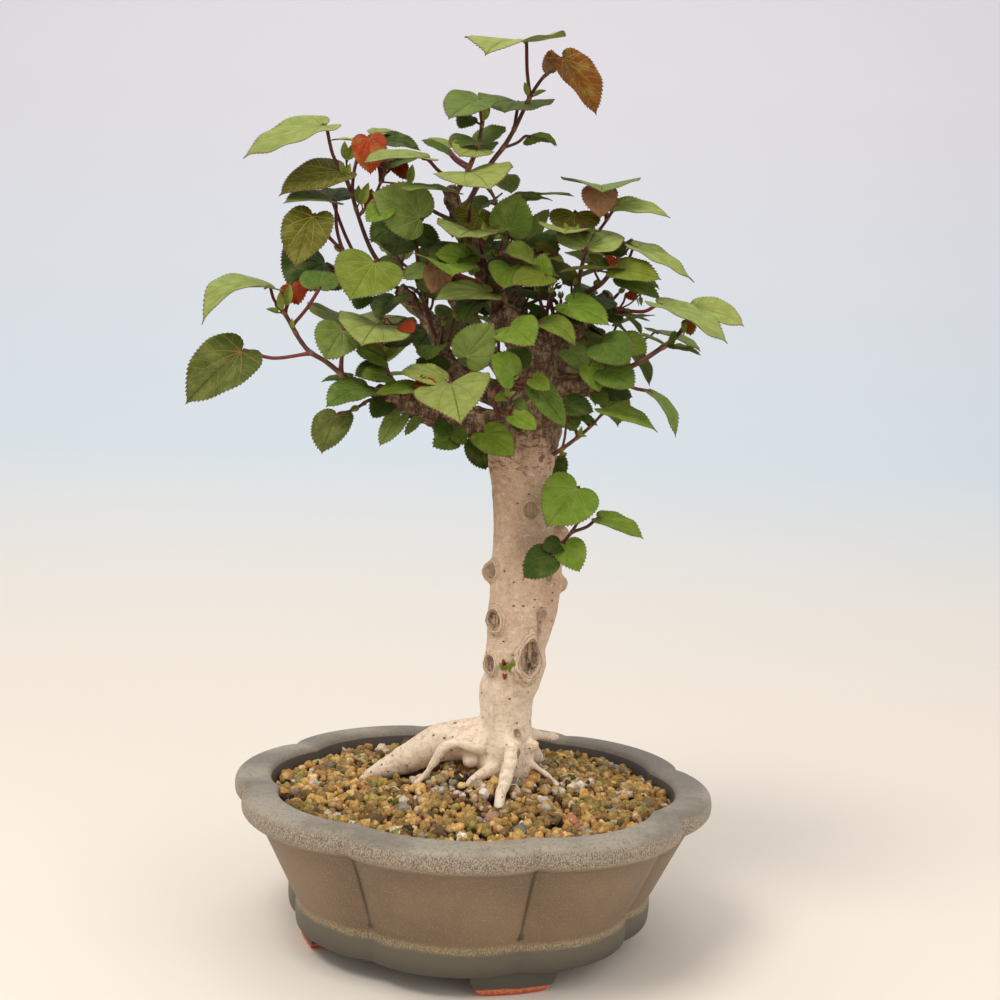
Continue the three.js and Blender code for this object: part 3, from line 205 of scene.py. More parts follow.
# A leaf is [base u, v, d, tip u, v, d, how far it faces the viewer, how far it leans to the right,
# kind by its colour, width as a share of its length, fold, arch, where its stalk starts]. The last
# three may be left off, as in USUAL_LEAF: its stalk then starts at the nearest stem.
# A shoot is its stems, each [first radius, last radius, [u, v, d], ...], and its leaves.
USUAL_LEAF = (8, 0.03, None)
SHOOTS = {
    "top": ([
        [2.3, 1.1, [-19, 142.5, -2], [-11, 157.5, -4], [-4, 169, -2], [2.5, 177.5, 0], [8.5, 188, 0],
         [15, 201.5, 0], [20.5, 210, 0], [24.5, 214, 2]],
    ], [
        [12.5, 229.2, 0, -8, 226.6, 45, 16, -3, "L", 0.95, 6, 0.02, [15.5, 202.5, 0]],
        [31.6, 220.5, 2, 48.5, 193, 8, 75, 30, "O", 0.8, 12, 0.04, [24.5, 214, 2]],
        [9, 199, -12, 4, 192.5, 22, 35, 0, "S", 1.05, 8, 0.02, [8, 186, 0]],
        [14.5, 182, 0, 28.5, 176.5, 6, 5, 20, "M", 0.8, -30, 0.25, [2, 177, 0]],
        [25, 215, 5, 25.5, 225.5, 6, 80, -20, "P", 0.8],
        [23.5, 212, 3, 31, 218.5, 5, 60, -40, "G", 0.5], [14, 202, 2, 12, 209, 2, 70, 0, "G", 0.4],
        [17, 202, 2, 23, 205, 3, 60, 0, "G", 0.45],
    ]),
    "crown": ([
        [2, 1.2, [-22, 153, 4], [-16, 165, 6], [-11, 177, 6], [-9, 187.5, 6], [-8, 191, 6]],
    ], [
        [-10.5, 200, 15, -25.5, 189.5, 29, 50, -10, "S", 1.1, 10, 0.05, [-9.5, 188, 6]],
        [-13.5, 179.5, 14, -24.5, 176.5, 24, 50, -15, "M", 1.2],
        [-12, 175.5, 16, -20, 171, 34, 35, 5, "L", 1],
        [-26.5, 174, 6, -39.5, 179.5, 12, 35, 0, "M", 0.7],
        [-9.5, 179.5, 2, 3, 187, -4, 45, 0, "S", 0.8],
        [-16, 164, 24, -4, 155, 54, 30, -3, "L", 1.1, 6, 0.04],
        [-38, 171, 18, -69, 170.5, 30, 22, 0, "L", 0.9, 5, 0.03, [-18.5, 160, 5.2]],
        [-24, 154, 22, -50.5, 155, 30, 18, 0, "S", 0.85, 5, 0.05],
        [-15, 191.5, 12, -21, 186, 16, 60, 0, "D", 1.1], [-8.5, 189.5, 8, -6, 199, 8, 80, 10, "G", 0.5],
        [-10.5, 177.5, 0, -6, 174, -22, 10, 0, "D", 0.75],
        [-27, 176.5, -6, -36, 181, -10, 40, 0, "L", 0.8],
    ]),
    "upper_left": ([
        [2, 1.4, [-52, 107, -8], [-56, 112.5, -8], [-63, 122.5, -6], [-67, 131, -4], [-71, 142.5, 0],
         [-74, 152.5, 2], [-77, 161, 2]],
        [1.3, 1, [-71, 141.5, 0], [-64, 150, 2], [-59.5, 159, 4], [-57, 165.5, 2]],
    ], [
        [-89, 187, 6, -128.5, 170.5, 18, 31, -5, "L", 0.88, 6, 0.04, [-77, 161, 2]],
        [-80, 164, 4, -110.5, 152, 16, 50, -20, "B", 0.9, 8, 0.04],
        [-71.5, 179.5, -10, -84.5, 180, -14, 20, 0, "L", 0.7],
        [-65.5, 180.5, 8, -64.5, 162.5, 12, 85, 0, "R", 0.94, 10, 0.05, [-57, 165.5, 2]],
        [-57, 166.5, 2, -55, 171, -28, 15, 0, "M", 1.05, 16],
        [-59, 180, -4, -39.5, 176, -2, 40, 10, "D", 0.8],
        [-77, 170, 4, -77.5, 179.5, 4, 80, -10, "G", 0.55],
        [-76, 170, 5, -71.5, 179.5, 6, 75, 15, "G", 0.5], [-77, 162, 5, -80, 170, 7, 70, -10, "G", 0.6],
        [-76.5, 161.5, 6, -75, 168.5, 8, 70, 10, "G", 0.9],
        [-62.5, 183, -8, -51, 183.5, -16, 25, 0, "L", 1], [-58, 170, 2, -58.5, 179, 2, 80, 0, "P", 0.5],
        [-52, 169, -4, -47, 160, 0, 70, 0, "R", 0.8], [-69.5, 147.5, 4, -66, 159, 6, 75, 10, "G", 0.45],
        [-70, 148, 2, -71, 157.5, 2, 75, -10, "G", 0.35], [-66, 147, 2, -64, 156, 2, 80, 0, "R", 0.5],
        [-45, 158, 4, -44, 168, 5, 70, 0, "G", 0.5],
    ]),
    "bronze": ([
        [1.7, 1.1, [-50, 105.5, -7], [-62.5, 112.5, 4], [-70, 118, 6], [-79.5, 125, 8]],
    ], [
        [-93.5, 141.5, 12, -103, 116, 20, 78, -8, "B", 0.92, 10, 0.03, [-79.5, 125, 8]],
        [-84, 149.5, 6, -108, 149.5, 18, 25, 0, "S", 0.9, 8, 0.05, [-79, 126.5, 8]],
        [-87.5, 118, -14, -107, 106.5, 8, 55, 10, "D", 1.3, 5, 0.05, [-66, 114.5, 5]],
        [-63, 118.5, 24, -74, 99, 38, 62, 5, "Y", 1.3, 5, 0.05, [-57, 110, 1]],
        [-68, 102, 20, -71.5, 95, 24, 60, 0, "D", 1.2], [-83, 150.5, -12, -77, 156, -30, 15, 0, "D", 1],
    ]),
    "left": ([
        [2.3, 1.4, [-59, 54, 17], [-70, 57, 16], [-74, 58.5, 16], [-80, 63.5, 16], [-87.5, 69.5, 16],
         [-95, 74, 16], [-100, 80, 15], [-104, 87, 14], [-107.5, 93, 13], [-109.5, 95.5, 13]],
    ], [
        [-117, 106.5, 10, -150, 89, 22, 20, 0, "L", 0.95, 10, 0.2, [-109.5, 95.5, 13]],
        [-129.5, 74, 16, -156.8, 47.5, 26, 72, -15, "V", 0.87, 8, 0.04, [-95.5, 73.5, 16]],
        [-78.5, 84.5, 22, -88.5, 70, 34, 68, 0, "S", 1.15, 8, 0.05, [-80, 63.5, 16]],
        [-78, 87, 10, -77, 93.5, -26, 8, 5, "L", 1.05, 16, 0.02, [-80.5, 64, 16]],
        [-75, 61.5, 6, -89.5, 59, 10, 20, 0, "M", 0.7],
        [-90.5, 106.5, 24, -88, 114.5, 14, 65, 0, "M", 1.5, 8, 0.1, [-103, 88, 14]],
        [-104, 107, 6, -100.5, 97.5, 8, 85, 10, "R", 1.3],
        [-109, 95, 15, -109.5, 104.5, 16, 80, -10, "G", 0.6],
        [-107, 97, 12, -104.5, 108, 12, 80, 10, "G", 0.4],
        [-110.5, 93.5, 14, -117, 95.5, 16, 60, 0, "G", 0.5],
        [-103.5, 86, 17, -104, 91, 19, 80, 0, "G", 1],
    ]),
    "left_inner": ([
        [2.4, 1.4, [-53, 55, 18], [-54.5, 60, 18], [-57.5, 67.5, 18], [-59.5, 77.5, 18], [-60.5, 83, 18]],
    ], [
        [-61.5, 87.5, 20, -69, 76.5, 52, 42, 8, "L", 1.05, 6, 0.04],
        [-59.5, 71.5, 24, -72.5, 74, 34, 55, -5, "M", 1.1], [-58.5, 64, 22, -73, 62, 32, 55, 0, "D", 1],
        [-57, 79, 10, -42, 82, 0, 40, 0, "D", 1], [-48, 87.5, 24, -42.5, 84, 28, 60, 0, "R", 1.1],
        [-60, 74, 22, -66, 76.5, 28, 50, 0, "Y", 0.8], [-57, 72, 22, -50.5, 75.5, 26, 50, 0, "Y", 0.7],
        [-57, 62, 26, -69, 60.5, 38, 50, 0, "M", 0.9], [-58, 78, 20, -56, 83.5, 22, 70, 0, "G", 0.5],
    ]),
    "front_left": ([
        [1.9, 1.4, [-46, 51, 20], [-44, 56, 26], [-40, 60, 32]],
    ], [
        [-24.5, 58, 38, -18.5, 39.5, 76, 60, -5, "L", 0.88, 6, 0.05, [-41, 59, 31]],
        [-28, 60, 26, -51, 63, 34, 35, -5, "L", 0.95, 6, 0.05],
        [-40, 55.5, 30, -63, 53.5, 36, 25, 0, "N", 0.75], [-41, 59, 32, -31, 56.5, 36, 50, 0, "R", 0.7],
        [-30, 64, 2, -42.5, 70, -4, 50, 0, "D", 1.1],
    ]),
    "low_left": ([
        [1.5, 1, [-58, 50.5, 21], [-65, 50, 24], [-71, 46.5, 26]],
    ], [
        [-67.5, 56, 28, -87.5, 47.5, 38, 32, -5, "M", 1.05, 6, 0.06],
        [-81.5, 42, 26, -88.5, 22.5, 34, 50, -10, "V", 1, 8, 0.06],
        [-57.5, 48.5, 26, -64, 41, 32, 65, 0, "D", 1.1],
    ]),
    "low": ([
        [1.2, 0.9, [-47, 43, 19], [-49, 39, 22]],
    ], [
        [-50, 42, 24, -60, 26.5, 30, 40, 5, "S", 0.62, 8, 0.05],
        [-41.5, 40, 22, -47.5, 32, 26, 60, 0, "S", 0.45],
    ]),
    "under": ([
        [1.4, 1, [-8, 34, 7], [-16, 32, 20], [-24, 31, 22]],
    ], [
        [-8, 33.5, 32, 6.5, 21, 40, 66, 10, "N", 0.95, 6, 0.04],
        [-23.5, 31, 22, -33.5, 26.5, 28, 65, 0, "M", 1.1],
        [-27, 38, 22, -32, 31.5, 26, 65, 0, "D", 1.1],
        [-22.5, 34.5, 22, -17, 27.5, 26, 65, 0, "M", 0.9],
    ]),
    "trunk_left": ([
        [1.3, 1, [0, 25.5, -12], [-9, 29, -20]],
    ], [
        [-11, 30, -20, -6.5, 15, -24, 60, 0, "D", 1.1],
    ]),
    "trunk_right": ([
        [1.3, 1, [24, 20, -14], [30, 22, -17]],
    ], [
        [28, 20.5, -18, 28.5, 8.5, -18, 80, 0, "D", 1],
    ]),
    "front": ([
        [1.9, 1.1, [0, 41, 12], [-1.5, 44, 22], [-4, 51, 28], [0, 57.5, 30], [6, 61, 32]],
        [1.2, 0.9, [-1.5, 44, 22], [6.5, 41.5, 30]],
    ], [
        [6.5, 62, 34, -5, 72, 40, 62, 0, "N", 1.25, 6, 0.04],
        [18, 56.5, 30, 33, 36, 36, 62, 10, "M", 0.6], [7, 42, 34, 18.5, 35, 40, 60, 5, "N", 0.85],
        [8, 68, 28, 13, 77, 24, 60, 0, "D", 1.2], [4, 51.5, 34, 3, 58, 35, 80, 0, "G", 0.6],
        [4, 51.5, 34, 8, 54.5, 36, 70, 0, "G", 0.5], [3, 52, 32, -3, 49.5, 36, 60, 0, "Y", 0.7],
        [16.5, 60.5, 34, 25, 54.5, 38, 60, 0, "N", 0.9], [8.5, 49.5, 30, 14, 44, 33, 65, 0, "M", 0.7],
        [7.5, 40, 30, 10.5, 33.5, 32, 65, 0, "D", 0.8],
    ]),
    "front_high": ([
        [1.9, 1.1, [3, 85, 4], [-6, 77, 22], [-14, 72, 30]],
    ], [
        [-16.5, 71.5, 32, -3, 89, 40, 80, 0, "S", 1, 5, 0.02],
        [5, 86.5, 34, 17, 77.5, 50, 62, -5, "N", 1.05, 6, 0.05],
        [20.5, 88.5, 24, 38, 76.5, 30, 42, 5, "Y", 0.75, 8, 0.2, [-4, 79, 17]],
    ]),
    "middle_left": ([
        [1.7, 1.1, [-3, 100, 4], [-5, 104, 12], [-13, 113, 18]],
    ], [
        [-6, 103.5, 22, -33.5, 101, 36, 32, 0, "L", 0.8, 6, 0.04],
        [-28.5, 118, 24, -25, 113.5, 52, 32, 10, "N", 1.1, 8, 0.03],
        [-13, 119, 14, -33, 123, 18, 50, 0, "N", 1], [-30, 115, 20, -35, 103, 26, 85, 0, "P", 1],
        [-8, 102.5, 14, -31, 105, 14, 40, 0, "D", 0.8],
        [-37.5, 115, 12, -48.5, 110.5, 18, 50, 0, "S", 0.9],
    ]),
    "dark_stem": ([
        [1.8, 1.1, [-36.5, 94, -6], [-40, 112, -4], [-42, 130, -4], [-40, 140, 0], [-37, 148, 4]],
    ], [
        [-40, 141, 14, -64, 155, 22, 76, 0, "S", 1.1, 6, 0.03],
        [-48.5, 134, -14, -52, 121, 0, 72, 0, "M", 1.25], [-51, 138.5, 0, -65, 128.5, 8, 60, 0, "D", 1],
        [-57, 147, 20, -67, 139, 24, 70, 0, "N", 1], [-39.5, 141.5, 6, -33, 148.5, 6, 60, 0, "D", 0.5],
        [-41.5, 134, -6, -30, 125.5, -4, 60, 0, "D", 1],
    ]),
    "leader": ([
        [1.8, 1.1, [-17, 130, 3], [-12, 137, 10], [-10, 142, 12]],
    ], [
        [-10.5, 143, 12, -14.5, 131, 16, 78, 0, "B", 1.75],
        [-15, 134.5, 25, -20, 129.5, 54, 28, 3, "L", 1, 12, 0.02],
        [4, 135, 14, 10, 153.5, 16, 80, 5, "M", 1.2, 8, 0.02],
        [11, 151.5, -4, 37, 152, 4, 16, 0, "S", 0.7, 5, 0.04],
        [-17, 143, -4, -8, 145.5, -6, 50, 0, "M", 1.2],
        [-7.5, 130, 16, -8, 139.5, 18, 80, 0, "G", 0.45],
    ]),
    "middle": ([
        [1.8, 1.1, [-0.5, 102, 4], [-1, 110, 8], [0, 121, 10], [1.5, 130, 10]],
    ], [
        [5, 116.5, 24, 2, 105.5, 34, 66, 0, "N", 1.3], [22, 112, 26, 6, 107, 40, 45, 0, "Y", 0.8],
        [16, 121.5, 20, 2, 124.5, 30, 48, 0, "Y", 1.1], [27.5, 127.5, 0, 12, 128.5, 2, 50, 0, "D", 0.8],
        [27.5, 124, 6, 16.5, 128.5, 10, 60, 0, "B", 0.5], [20, 111, 22, 22.5, 124, 26, 70, 0, "N", 0.9],
        [2, 126, -8, -3, 129, -14, 50, 0, "D", 1],
    ]),
    "right_top": ([
        [2, 1.1, [38, 101, -1], [40, 112.5, 0], [42, 121, 4], [45, 130, 4], [50.5, 136, 2],
         [57, 145.5, 2]],
    ], [
        [49.5, 157, -6, 52, 155, 30, 16, 0, "S", 1.1, 10, 0.02],
        [49.5, 155, 8, 50.5, 141, 14, 85, 0, "P", 1.15],
        [57.5, 147, 4, 85.5, 142, 8, 30, -5, "L", 0.8, 5, 0.04, [57, 145.5, 2]],
        [43.5, 126.5, 22, 50, 135.5, -14, 42, -5, "L", 0.85, 5, 0.04],
        [37.5, 143, -4, 36.5, 131, 0, 75, 0, "B", 2],
        [35, 134.5, 8, 31, 133, 38, 20, 0, "L", 1, 8, 0.02],
        [52, 128.5, -2, 63.5, 122, 2, 60, 0, "D", 1], [34, 133, 10, 32.5, 139, 10, 80, 0, "G", 0.5],
        [38, 133, 10, 39, 138, 10, 80, 0, "G", 0.5],
    ]),
    "right_upper": ([
        [1.9, 1.1, [41, 103, 0], [50, 107.5, 8], [56, 113.5, 12], [62, 117.5, 10]],
    ], [
        [57, 115, 12, 29, 114.5, 22, 9, 0, "Y", 0.7],
        [58, 115.5, 16, 80.5, 110, 22, 42, 0, "Y", 0.85, 6, 0.04],
        [68.5, 126, 8, 97, 108.5, 14, 20, 5, "L", 0.8, 6, 0.04, [61, 116.5, 10]],
        [60.5, 110.5, 12, 81, 100.5, 12, 45, 0, "M", 0.65],
        [56, 116, 14, 44, 123, 12, 50, 0, "M", 0.45], [57.5, 117, 14, 53, 122.5, 16, 60, 0, "R", 0.8],
        [62, 109.5, 6, 70, 109, 2, 40, 0, "R", 0.8],
    ]),
    "right_middle": ([
        [1.4, 0.9, [56, 101, -4], [58, 96, 2], [62.5, 94.5, 6]],
    ], [
        [81, 97.5, 22, 114.5, 78.5, 36, 15, 0, "L", 0.8, 6, 0.05, [62.5, 94.5, 6]],
        [60, 92.5, 6, 75, 89.5, 10, 12, 0, "S", 0.6], [57, 93, 4, 60, 88, 8, 60, 0, "D", 1],
        [64, 103, 8, 68, 100, 10, 60, 0, "R", 1], [70, 101.5, 10, 70.5, 97, 12, 60, 0, "G", 0.6],
    ]),
    "far_right": ([
        [2.3, 1.5, [48, 56, 8], [52.5, 60, 12], [58.5, 63.5, 14], [70, 69, 16], [80, 75.5, 16],
         [86, 79.5, 16], [91, 85, 14], [93.5, 89.5, 12]],
    ], [
        [97.5, 96, 4, 122.5, 87, 14, 34, 0, "L", 0.95, 6, 0.05, [93.5, 89.5, 12]],
        [76, 53, 12, 88, 31.5, 18, 20, 20, "S", 0.5, 8, 0.12, [57, 62.6, 13.7]],
        [83, 77, 18, 68.5, 83.5, 20, 20, 0, "S", 0.45],
        [86.5, 76.5, 18, 100.5, 73, 22, 25, 0, "M", 0.4], [94, 89, 12, 95, 82, 14, 70, 0, "O", 1],
        [92, 88.5, 16, 92, 82.5, 18, 80, 0, "G", 0.5], [85.5, 78.5, 18, 87.5, 85, 18, 70, 0, "M", 0.45],
        [87, 77, 20, 93.5, 76, 22, 40, 0, "G", 0.4],
    ]),
    "right_low": ([
        [1.7, 1, [43, 61, 6], [47.5, 69, 10], [52.5, 75, 12]],
    ], [
        [51, 78, 18, 66, 68.5, 28, 62, 0, "M", 1.2, 6, 0.05],
        [61, 79, 6, 73.5, 73, 12, 62, 0, "N", 1.15], [34.5, 75, 10, 44.5, 64.5, 16, 60, 0, "S", 0.9],
        [45, 66.5, 16, 50, 54, 22, 60, 0, "N", 0.95], [53, 65, 18, 67, 55.5, 26, 62, 0, "M", 1.1],
        [51.5, 54.5, -8, 66.5, 51.5, -6, 50, 0, "D", 1.05], [49, 53, 8, 52.5, 46.5, 12, 60, 0, "M", 1],
    ]),
    "right_inner": ([
        [1.5, 1, [47, 94, -8], [46, 97, 2], [44, 98, 8]],
    ], [
        [34, 98, 14, 55, 87.5, 24, 48, 0, "N", 0.8], [56, 92.5, -2, 41, 96, 0, 45, 0, "D", 1.1],
    ]),
    "low_right": ([
        [1.8, 1, [27, 23, 4], [31, 25.5, 8], [39, 31.5, 10], [45, 36.5, 10], [51.5, 43.5, 10]],
    ], [
        [53, 45.5, 12, 79, 34, 18, 18, 0, "N", 0.75, 6, 0.05, [51.5, 43.5, 10]],
        [33, 47.5, 14, 47, 44, 16, 50, 0, "D", 1.1],
        [33.5, 37, 12, 38, 46, 8, 50, 0, "M", 1.1, 8, 0.05, [31.5, 26, 8]],
        [39.5, 31.5, 12, 41, 37, 13, 75, 0, "G", 0.4], [39, 32, 13, 43.5, 32, 14, 60, 0, "G", 0.5],
        [40, 42.5, 8, 49, 37, 10, 55, 0, "M", 0.5],
    ]),
    "trunk": ([
        [1.7, 1.1, [22, -25, 1], [31, -21.5, 11], [33.5, -19, 13], [36.5, -15, 14], [39.5, -10, 14]],
    ], [
        [38.5, 5.5, 16, 23, -14, 30, 78, -5, "N", 1.05, 6, 0.04, [39.5, -10, 14]],
        [50.5, -9.5, 14, 72, -19, 20, 26, 5, "N", 0.75, 10, 0.04, [36.5, -15.5, 14]],
        [33, -22.5, 18, 40.5, -35.5, 24, 76, 5, "N", 1.1, 6, 0.04],
        [24.5, -28, 22, 11, -38.5, 28, 72, 0, "D", 1, 6, 0.04],
        [29.5, -22, 18, 21, -24.5, 24, 60, 0, "D", 1],
    ]),
}
# Shoots on the far side, grown by rule: name, stem as above, number of leaves, length of the longest.
FAR_SHOOTS = [
    ["back_left", [1.8, 1, [-26, 103, -57], [-40, 112, -66], [-54, 122, -70]], 4, 27],
    ["back_left_low", [1.8, 1, [-18, 84, -50], [-40, 84, -62], [-58, 88, -70]], 4, 27],
    ["back_low_left", [1.6, 1, [-6, 68, -36], [-22, 60, -56], [-34, 58, -70]], 3, 26],
    ["back_top", [1.8, 1, [4, 129, -46], [0, 144, -52], [-6, 158, -52]], 4, 26],
    ["back_middle", [1.8, 1, [7, 112, -40], [14, 120, -62], [18, 130, -80]], 4, 27],
    ["back_right", [1.8, 1, [40, 99, -60], [52, 110, -66], [60, 122, -66]], 4, 27],
    ["back_right_low", [1.8, 1, [37, 80, -52], [54, 78, -64], [70, 80, -70]], 4, 27],
    ["back_low_right", [1.6, 1, [31, 62, -38], [42, 60, -58], [50, 62, -72]], 3, 26],
]

# Leaf colours by kind: blade, veins. Screen colours from 0 to 255.
KINDS = {
    "L": ((146, 158, 82), (128, 136, 74)),
    "Y": ((108, 122, 34), (148, 156, 76)),
    "N": ((104, 130, 34), (142, 156, 72)),
    "M": ((80, 104, 32), (124, 140, 66)),
    # D: dark green. It is partly the older leaves' own tone and partly painted shade, since it goes mostly
    # to leaves deep in the crown and behind it.
    "D": ((54, 74, 22), (92, 108, 46)),
    # S: green greyed by painted sheen.
    "S": ((104, 124, 56), (144, 154, 90)),
    "V": ((70, 88, 28), (146, 116, 68)),
    "B": ((86, 80, 16), (158, 154, 64)),
    "O": ((112, 60, 8), (184, 138, 56)),
    "R": ((142, 42, 4), (182, 92, 36)),
    "P": ((158, 112, 82), (182, 142, 104)),
    "G": ((134, 148, 60), (156, 162, 82)),
}
MARGIN_COLOUR = (108, 70, 62)
STEM_OLD = (96, 58, 42)
STEM_YOUNG = (78, 34, 30)
PETIOLE_COLOUR = (104, 44, 36)
NODE_COLOUR = (168, 122, 78)
MOSS_COLOURS = ((58, 72, 26), (122, 130, 50))
TWIG_COLOURS = ((150, 126, 98), (206, 184, 150))
FIBRE_COLOURS = ((206, 190, 160), (232, 220, 196))
SCREEN_COLOURS = ((28, 34, 30), (40, 46, 42))


# Places and paths

def straight(colour):
    """Screen colour from 0 to 255 as the straight red, green, blue and alpha that a shader takes."""
    parts = [part / 255 for part in colour]
    return [part / 12.92 if part <= 0.04045 else ((part + 0.055) / 1.055) ** 2.4 for part in parts] + [1]


def toned(colour, share):
    """A screen colour made lighter or darker, as a shader takes it."""
    return np.array(straight(colour)) * (share, share, share, 1)


def unit(vector):
    return vector / np.linalg.norm(vector)


def turning(degrees, axis):
    return np.array(Matrix.Rotation(math.radians(degrees), 3, axis))


POT_MIDDLE = np.array((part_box("pot")[0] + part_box("pot")[1]) / 2) / MM * (1, 1, 0)
AIM = turning(POT_TURN - SIGHT_TURN, "Z") @ turning(-SIGHT_DIP, "X") @ turning(-SIGHT_ROLL, "Y")
RIGHT, SIGHT, UP = AIM.T
EYE = turning(POT_TURN, "Z") @ np.array(EYE_PLACE) + POT_MIDDLE
UPRIGHT = np.array((0.0, 0.0, 1.0))


def spots(listed):
    """The places that are seen u to the right of the plane's middle, v above it and d nearer than it."""
    listed = np.array([row[:3] for row in listed], float)
    rays = SIGHT * PLANE_DISTANCE + listed[:, :1] * RIGHT + listed[:, 1:2] * UP
    return EYE + rays * (1 - listed[:, 2:] / PLANE_DISTANCE)


def spot(place):
    return spots([place])[0]


def seen_at(points):
    """u and v of places in the row frame, the reverse of spots."""
    away = points - EYE
    depth = away @ SIGHT
    return away @ RIGHT / depth * PLANE_DISTANCE, away @ UP / depth * PLANE_DISTANCE


def smoothstep(low, high, value):
    share = np.clip((value - low) / (high - low), 0, 1)
    return share * share * (3 - 2 * share)


def flow(rows, step):
    """A smooth path through rows of numbers, with points about a step apart."""
    rows = np.array(rows, float)
    lined = np.vstack([2 * rows[0] - rows[1], rows, 2 * rows[-1] - rows[-2]])
    runs = []
    for before, here, there, after in zip(lined, lined[1:], lined[2:], lined[3:]):
        count = max(1, math.ceil(np.linalg.norm((there - here)[:3]) / step))
        t = (np.arange(count) / count)[:, None]
        bend = 2 * before - 5 * here + 4 * there - after
        twist = 3 * here - before - 3 * there + after
        runs.append(here + 0.5 * ((there - before) * t + bend * t ** 2 + twist * t ** 3))
    return np.vstack([*runs, rows[-1:]])


def listed_path(rows, step):
    """A smooth path through a listed limb, its last column the radius."""
    return flow(np.column_stack([spots(rows), [row[3] for row in rows]]), step)


def reaches(path):
    return np.concatenate([[0], np.cumsum(np.linalg.norm(np.diff(path, axis=0), axis=1))])


# Meshes

class Piece:
    """One mesh in the making: its points, its faces and the numbers that its finishes read."""

    def __init__(self):
        self.points = []
        self.blocks = []
        self.slots = []
        self.marks = {}
        self.count = 0

    def add(self, points, blocks, slot=0, **marks):
        for block in blocks:
            self.blocks.append(np.asarray(block) + self.count)
            self.slots.append(np.full(len(block), slot))
        for name, value in marks.items():
            value = np.asarray(value, float)
            spread = value if value.ndim and len(value) == len(points) else np.tile(value, (len(points), 1))
            self.marks.setdefault(name, []).append((self.count, spread.reshape(len(points), -1)))
        self.points.append(points)
        self.count += len(points)

    def mesh(self, name):
        mesh = bpy.data.meshes.new(name)
        corners = np.concatenate([block.ravel() for block in self.blocks])
        sizes = np.concatenate([np.full(len(block), block.shape[1]) for block in self.blocks])
        mesh.vertices.add(self.count)
        mesh.vertices.foreach_set("co", (np.concatenate(self.points) * MM).ravel())
        mesh.loops.add(len(corners))
        mesh.loops.foreach_set("vertex_index", corners)
        mesh.polygons.add(len(sizes))
        mesh.polygons.foreach_set("loop_start", np.concatenate([[0], np.cumsum(sizes)[:-1]]))
        mesh.polygons.foreach_set("material_index", np.concatenate(self.slots))
        mesh.update(calc_edges=True)
        for mark, spreads in self.marks.items():
            width = spreads[0][1].shape[1]
            values = np.zeros((self.count, width))
            for start, spread in spreads:
                values[start:start + len(spread)] = spread
            put_mark(mesh, mark, values)
        return mesh


def put_mark(mesh, name, values):
    """Stores one number, vector or colour for each point of a mesh, for its finish to read."""
    width = values.shape[1] if values.ndim > 1 else 1
    kind, field = {1: ("FLOAT", "value"), 3: ("FLOAT_VECTOR", "vector"), 4: ("FLOAT_COLOR", "color")}[width]
    mesh.attributes.new(name, kind, "POINT").data.foreach_set(field, values.astype(np.float32).ravel())


def linked(name, data):
    """Puts a mesh, a lamp or a camera into the scene."""
    thing = bpy.data.objects.new(name, data)
    bpy.context.scene.collection.objects.link(thing)
    return thing


def shown(name, mesh, finishes, sharp=None):
    """Puts a mesh into the scene, smooth-shaded, with edges sharper than the given angle left crisp."""
    for finish in finishes:
        mesh.materials.append(finish)
    mesh.shade_smooth()
    if sharp:
        mesh.set_sharp_from_angle(angle=math.radians(sharp))
    return linked(name, mesh)


def placed(thing, slot, *nodes):
    """Lets a piece ride with the part, and stand for the solids that it covers."""
    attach(thing, "root")
    if nodes:
        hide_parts(*nodes)
    return thing


def quads(rings, count, closed=True):
    """Faces between rings of equal count."""
    across = count if closed else count - 1
    ring, i = np.meshgrid(np.arange(rings - 1), np.arange(across), indexing="ij")
    here = (ring * count + i).ravel()
    beside = (ring * count + (i + 1) % count).ravel()
    return np.column_stack([here, beside, beside + count, here + count])


def closed_skin(rings, count):
    """Faces over closed rings of equal count, which two middle points after them close at the ends."""
    i = np.arange(count)
    j = (i + 1) % count
    top = (rings - 1) * count
    first = np.column_stack([j, i, np.full(count, rings * count)])
    last = np.column_stack([top + i, top + j, np.full(count, rings * count + 1)])
    return [quads(rings, count), np.vstack([first, last])]


def tube(path, radii, sides):
    """A round limb along a path: its points, then the blocks of its faces."""
    tangents = np.gradient(path, axis=0)
    tangents /= np.linalg.norm(tangents, axis=1)[:, None]
    side = np.cross(tangents[0], UPRIGHT if abs(tangents[0][2]) < 0.8 else RIGHT)
    angles = np.arange(sides) / sides * 2 * math.pi
    rings = []
    for centre, tangent, radius in zip(path, tangents, radii):
        side = unit(side - tangent * (side @ tangent))
        other = np.cross(tangent, side)
        rings.append(centre + radius * (np.outer(np.cos(angles), side) + np.outer(np.sin(angles), other)))
    return np.vstack([*rings, path[:1], path[-1:]]), closed_skin(len(path), sides)


def along_tube(values, sides):
    """Numbers given along a path, spread over the points of the tube round it."""
    return np.concatenate([np.repeat(values, sides, axis=0), values[:1], values[-1:]])


def noises(points, size, seed):
    """Smooth noise from -1 to 1 with features of the given size."""
    shift = Vector((seed * 17.3, seed * 5.1, seed * 9.7))
    return np.array([noise.noise(Vector(point) / size + shift) for point in points])


def modified(thing, kind, **settings):
    """The mesh of an object under one modifier."""
    modifier = thing.modifiers.new(kind.lower(), kind)
    for setting, value in settings.items():
        setattr(modifier, setting, value)
    graph = bpy.context.evaluated_depsgraph_get()
    return bpy.data.meshes.new_from_object(thing.evaluated_get(graph))


def remeshed(piece, voxel):
    """One closed skin round everything in the piece."""
    thing = linked("rough_wood", piece.mesh("rough_wood"))
    mesh = modified(thing, "REMESH", mode="VOXEL", voxel_size=voxel * MM)
    bpy.data.objects.remove(thing)
    return mesh


def points_of(mesh):
    points = np.zeros(len(mesh.vertices) * 3)
    mesh.vertices.foreach_get("co", points)
    return points.reshape(-1, 3) / MM


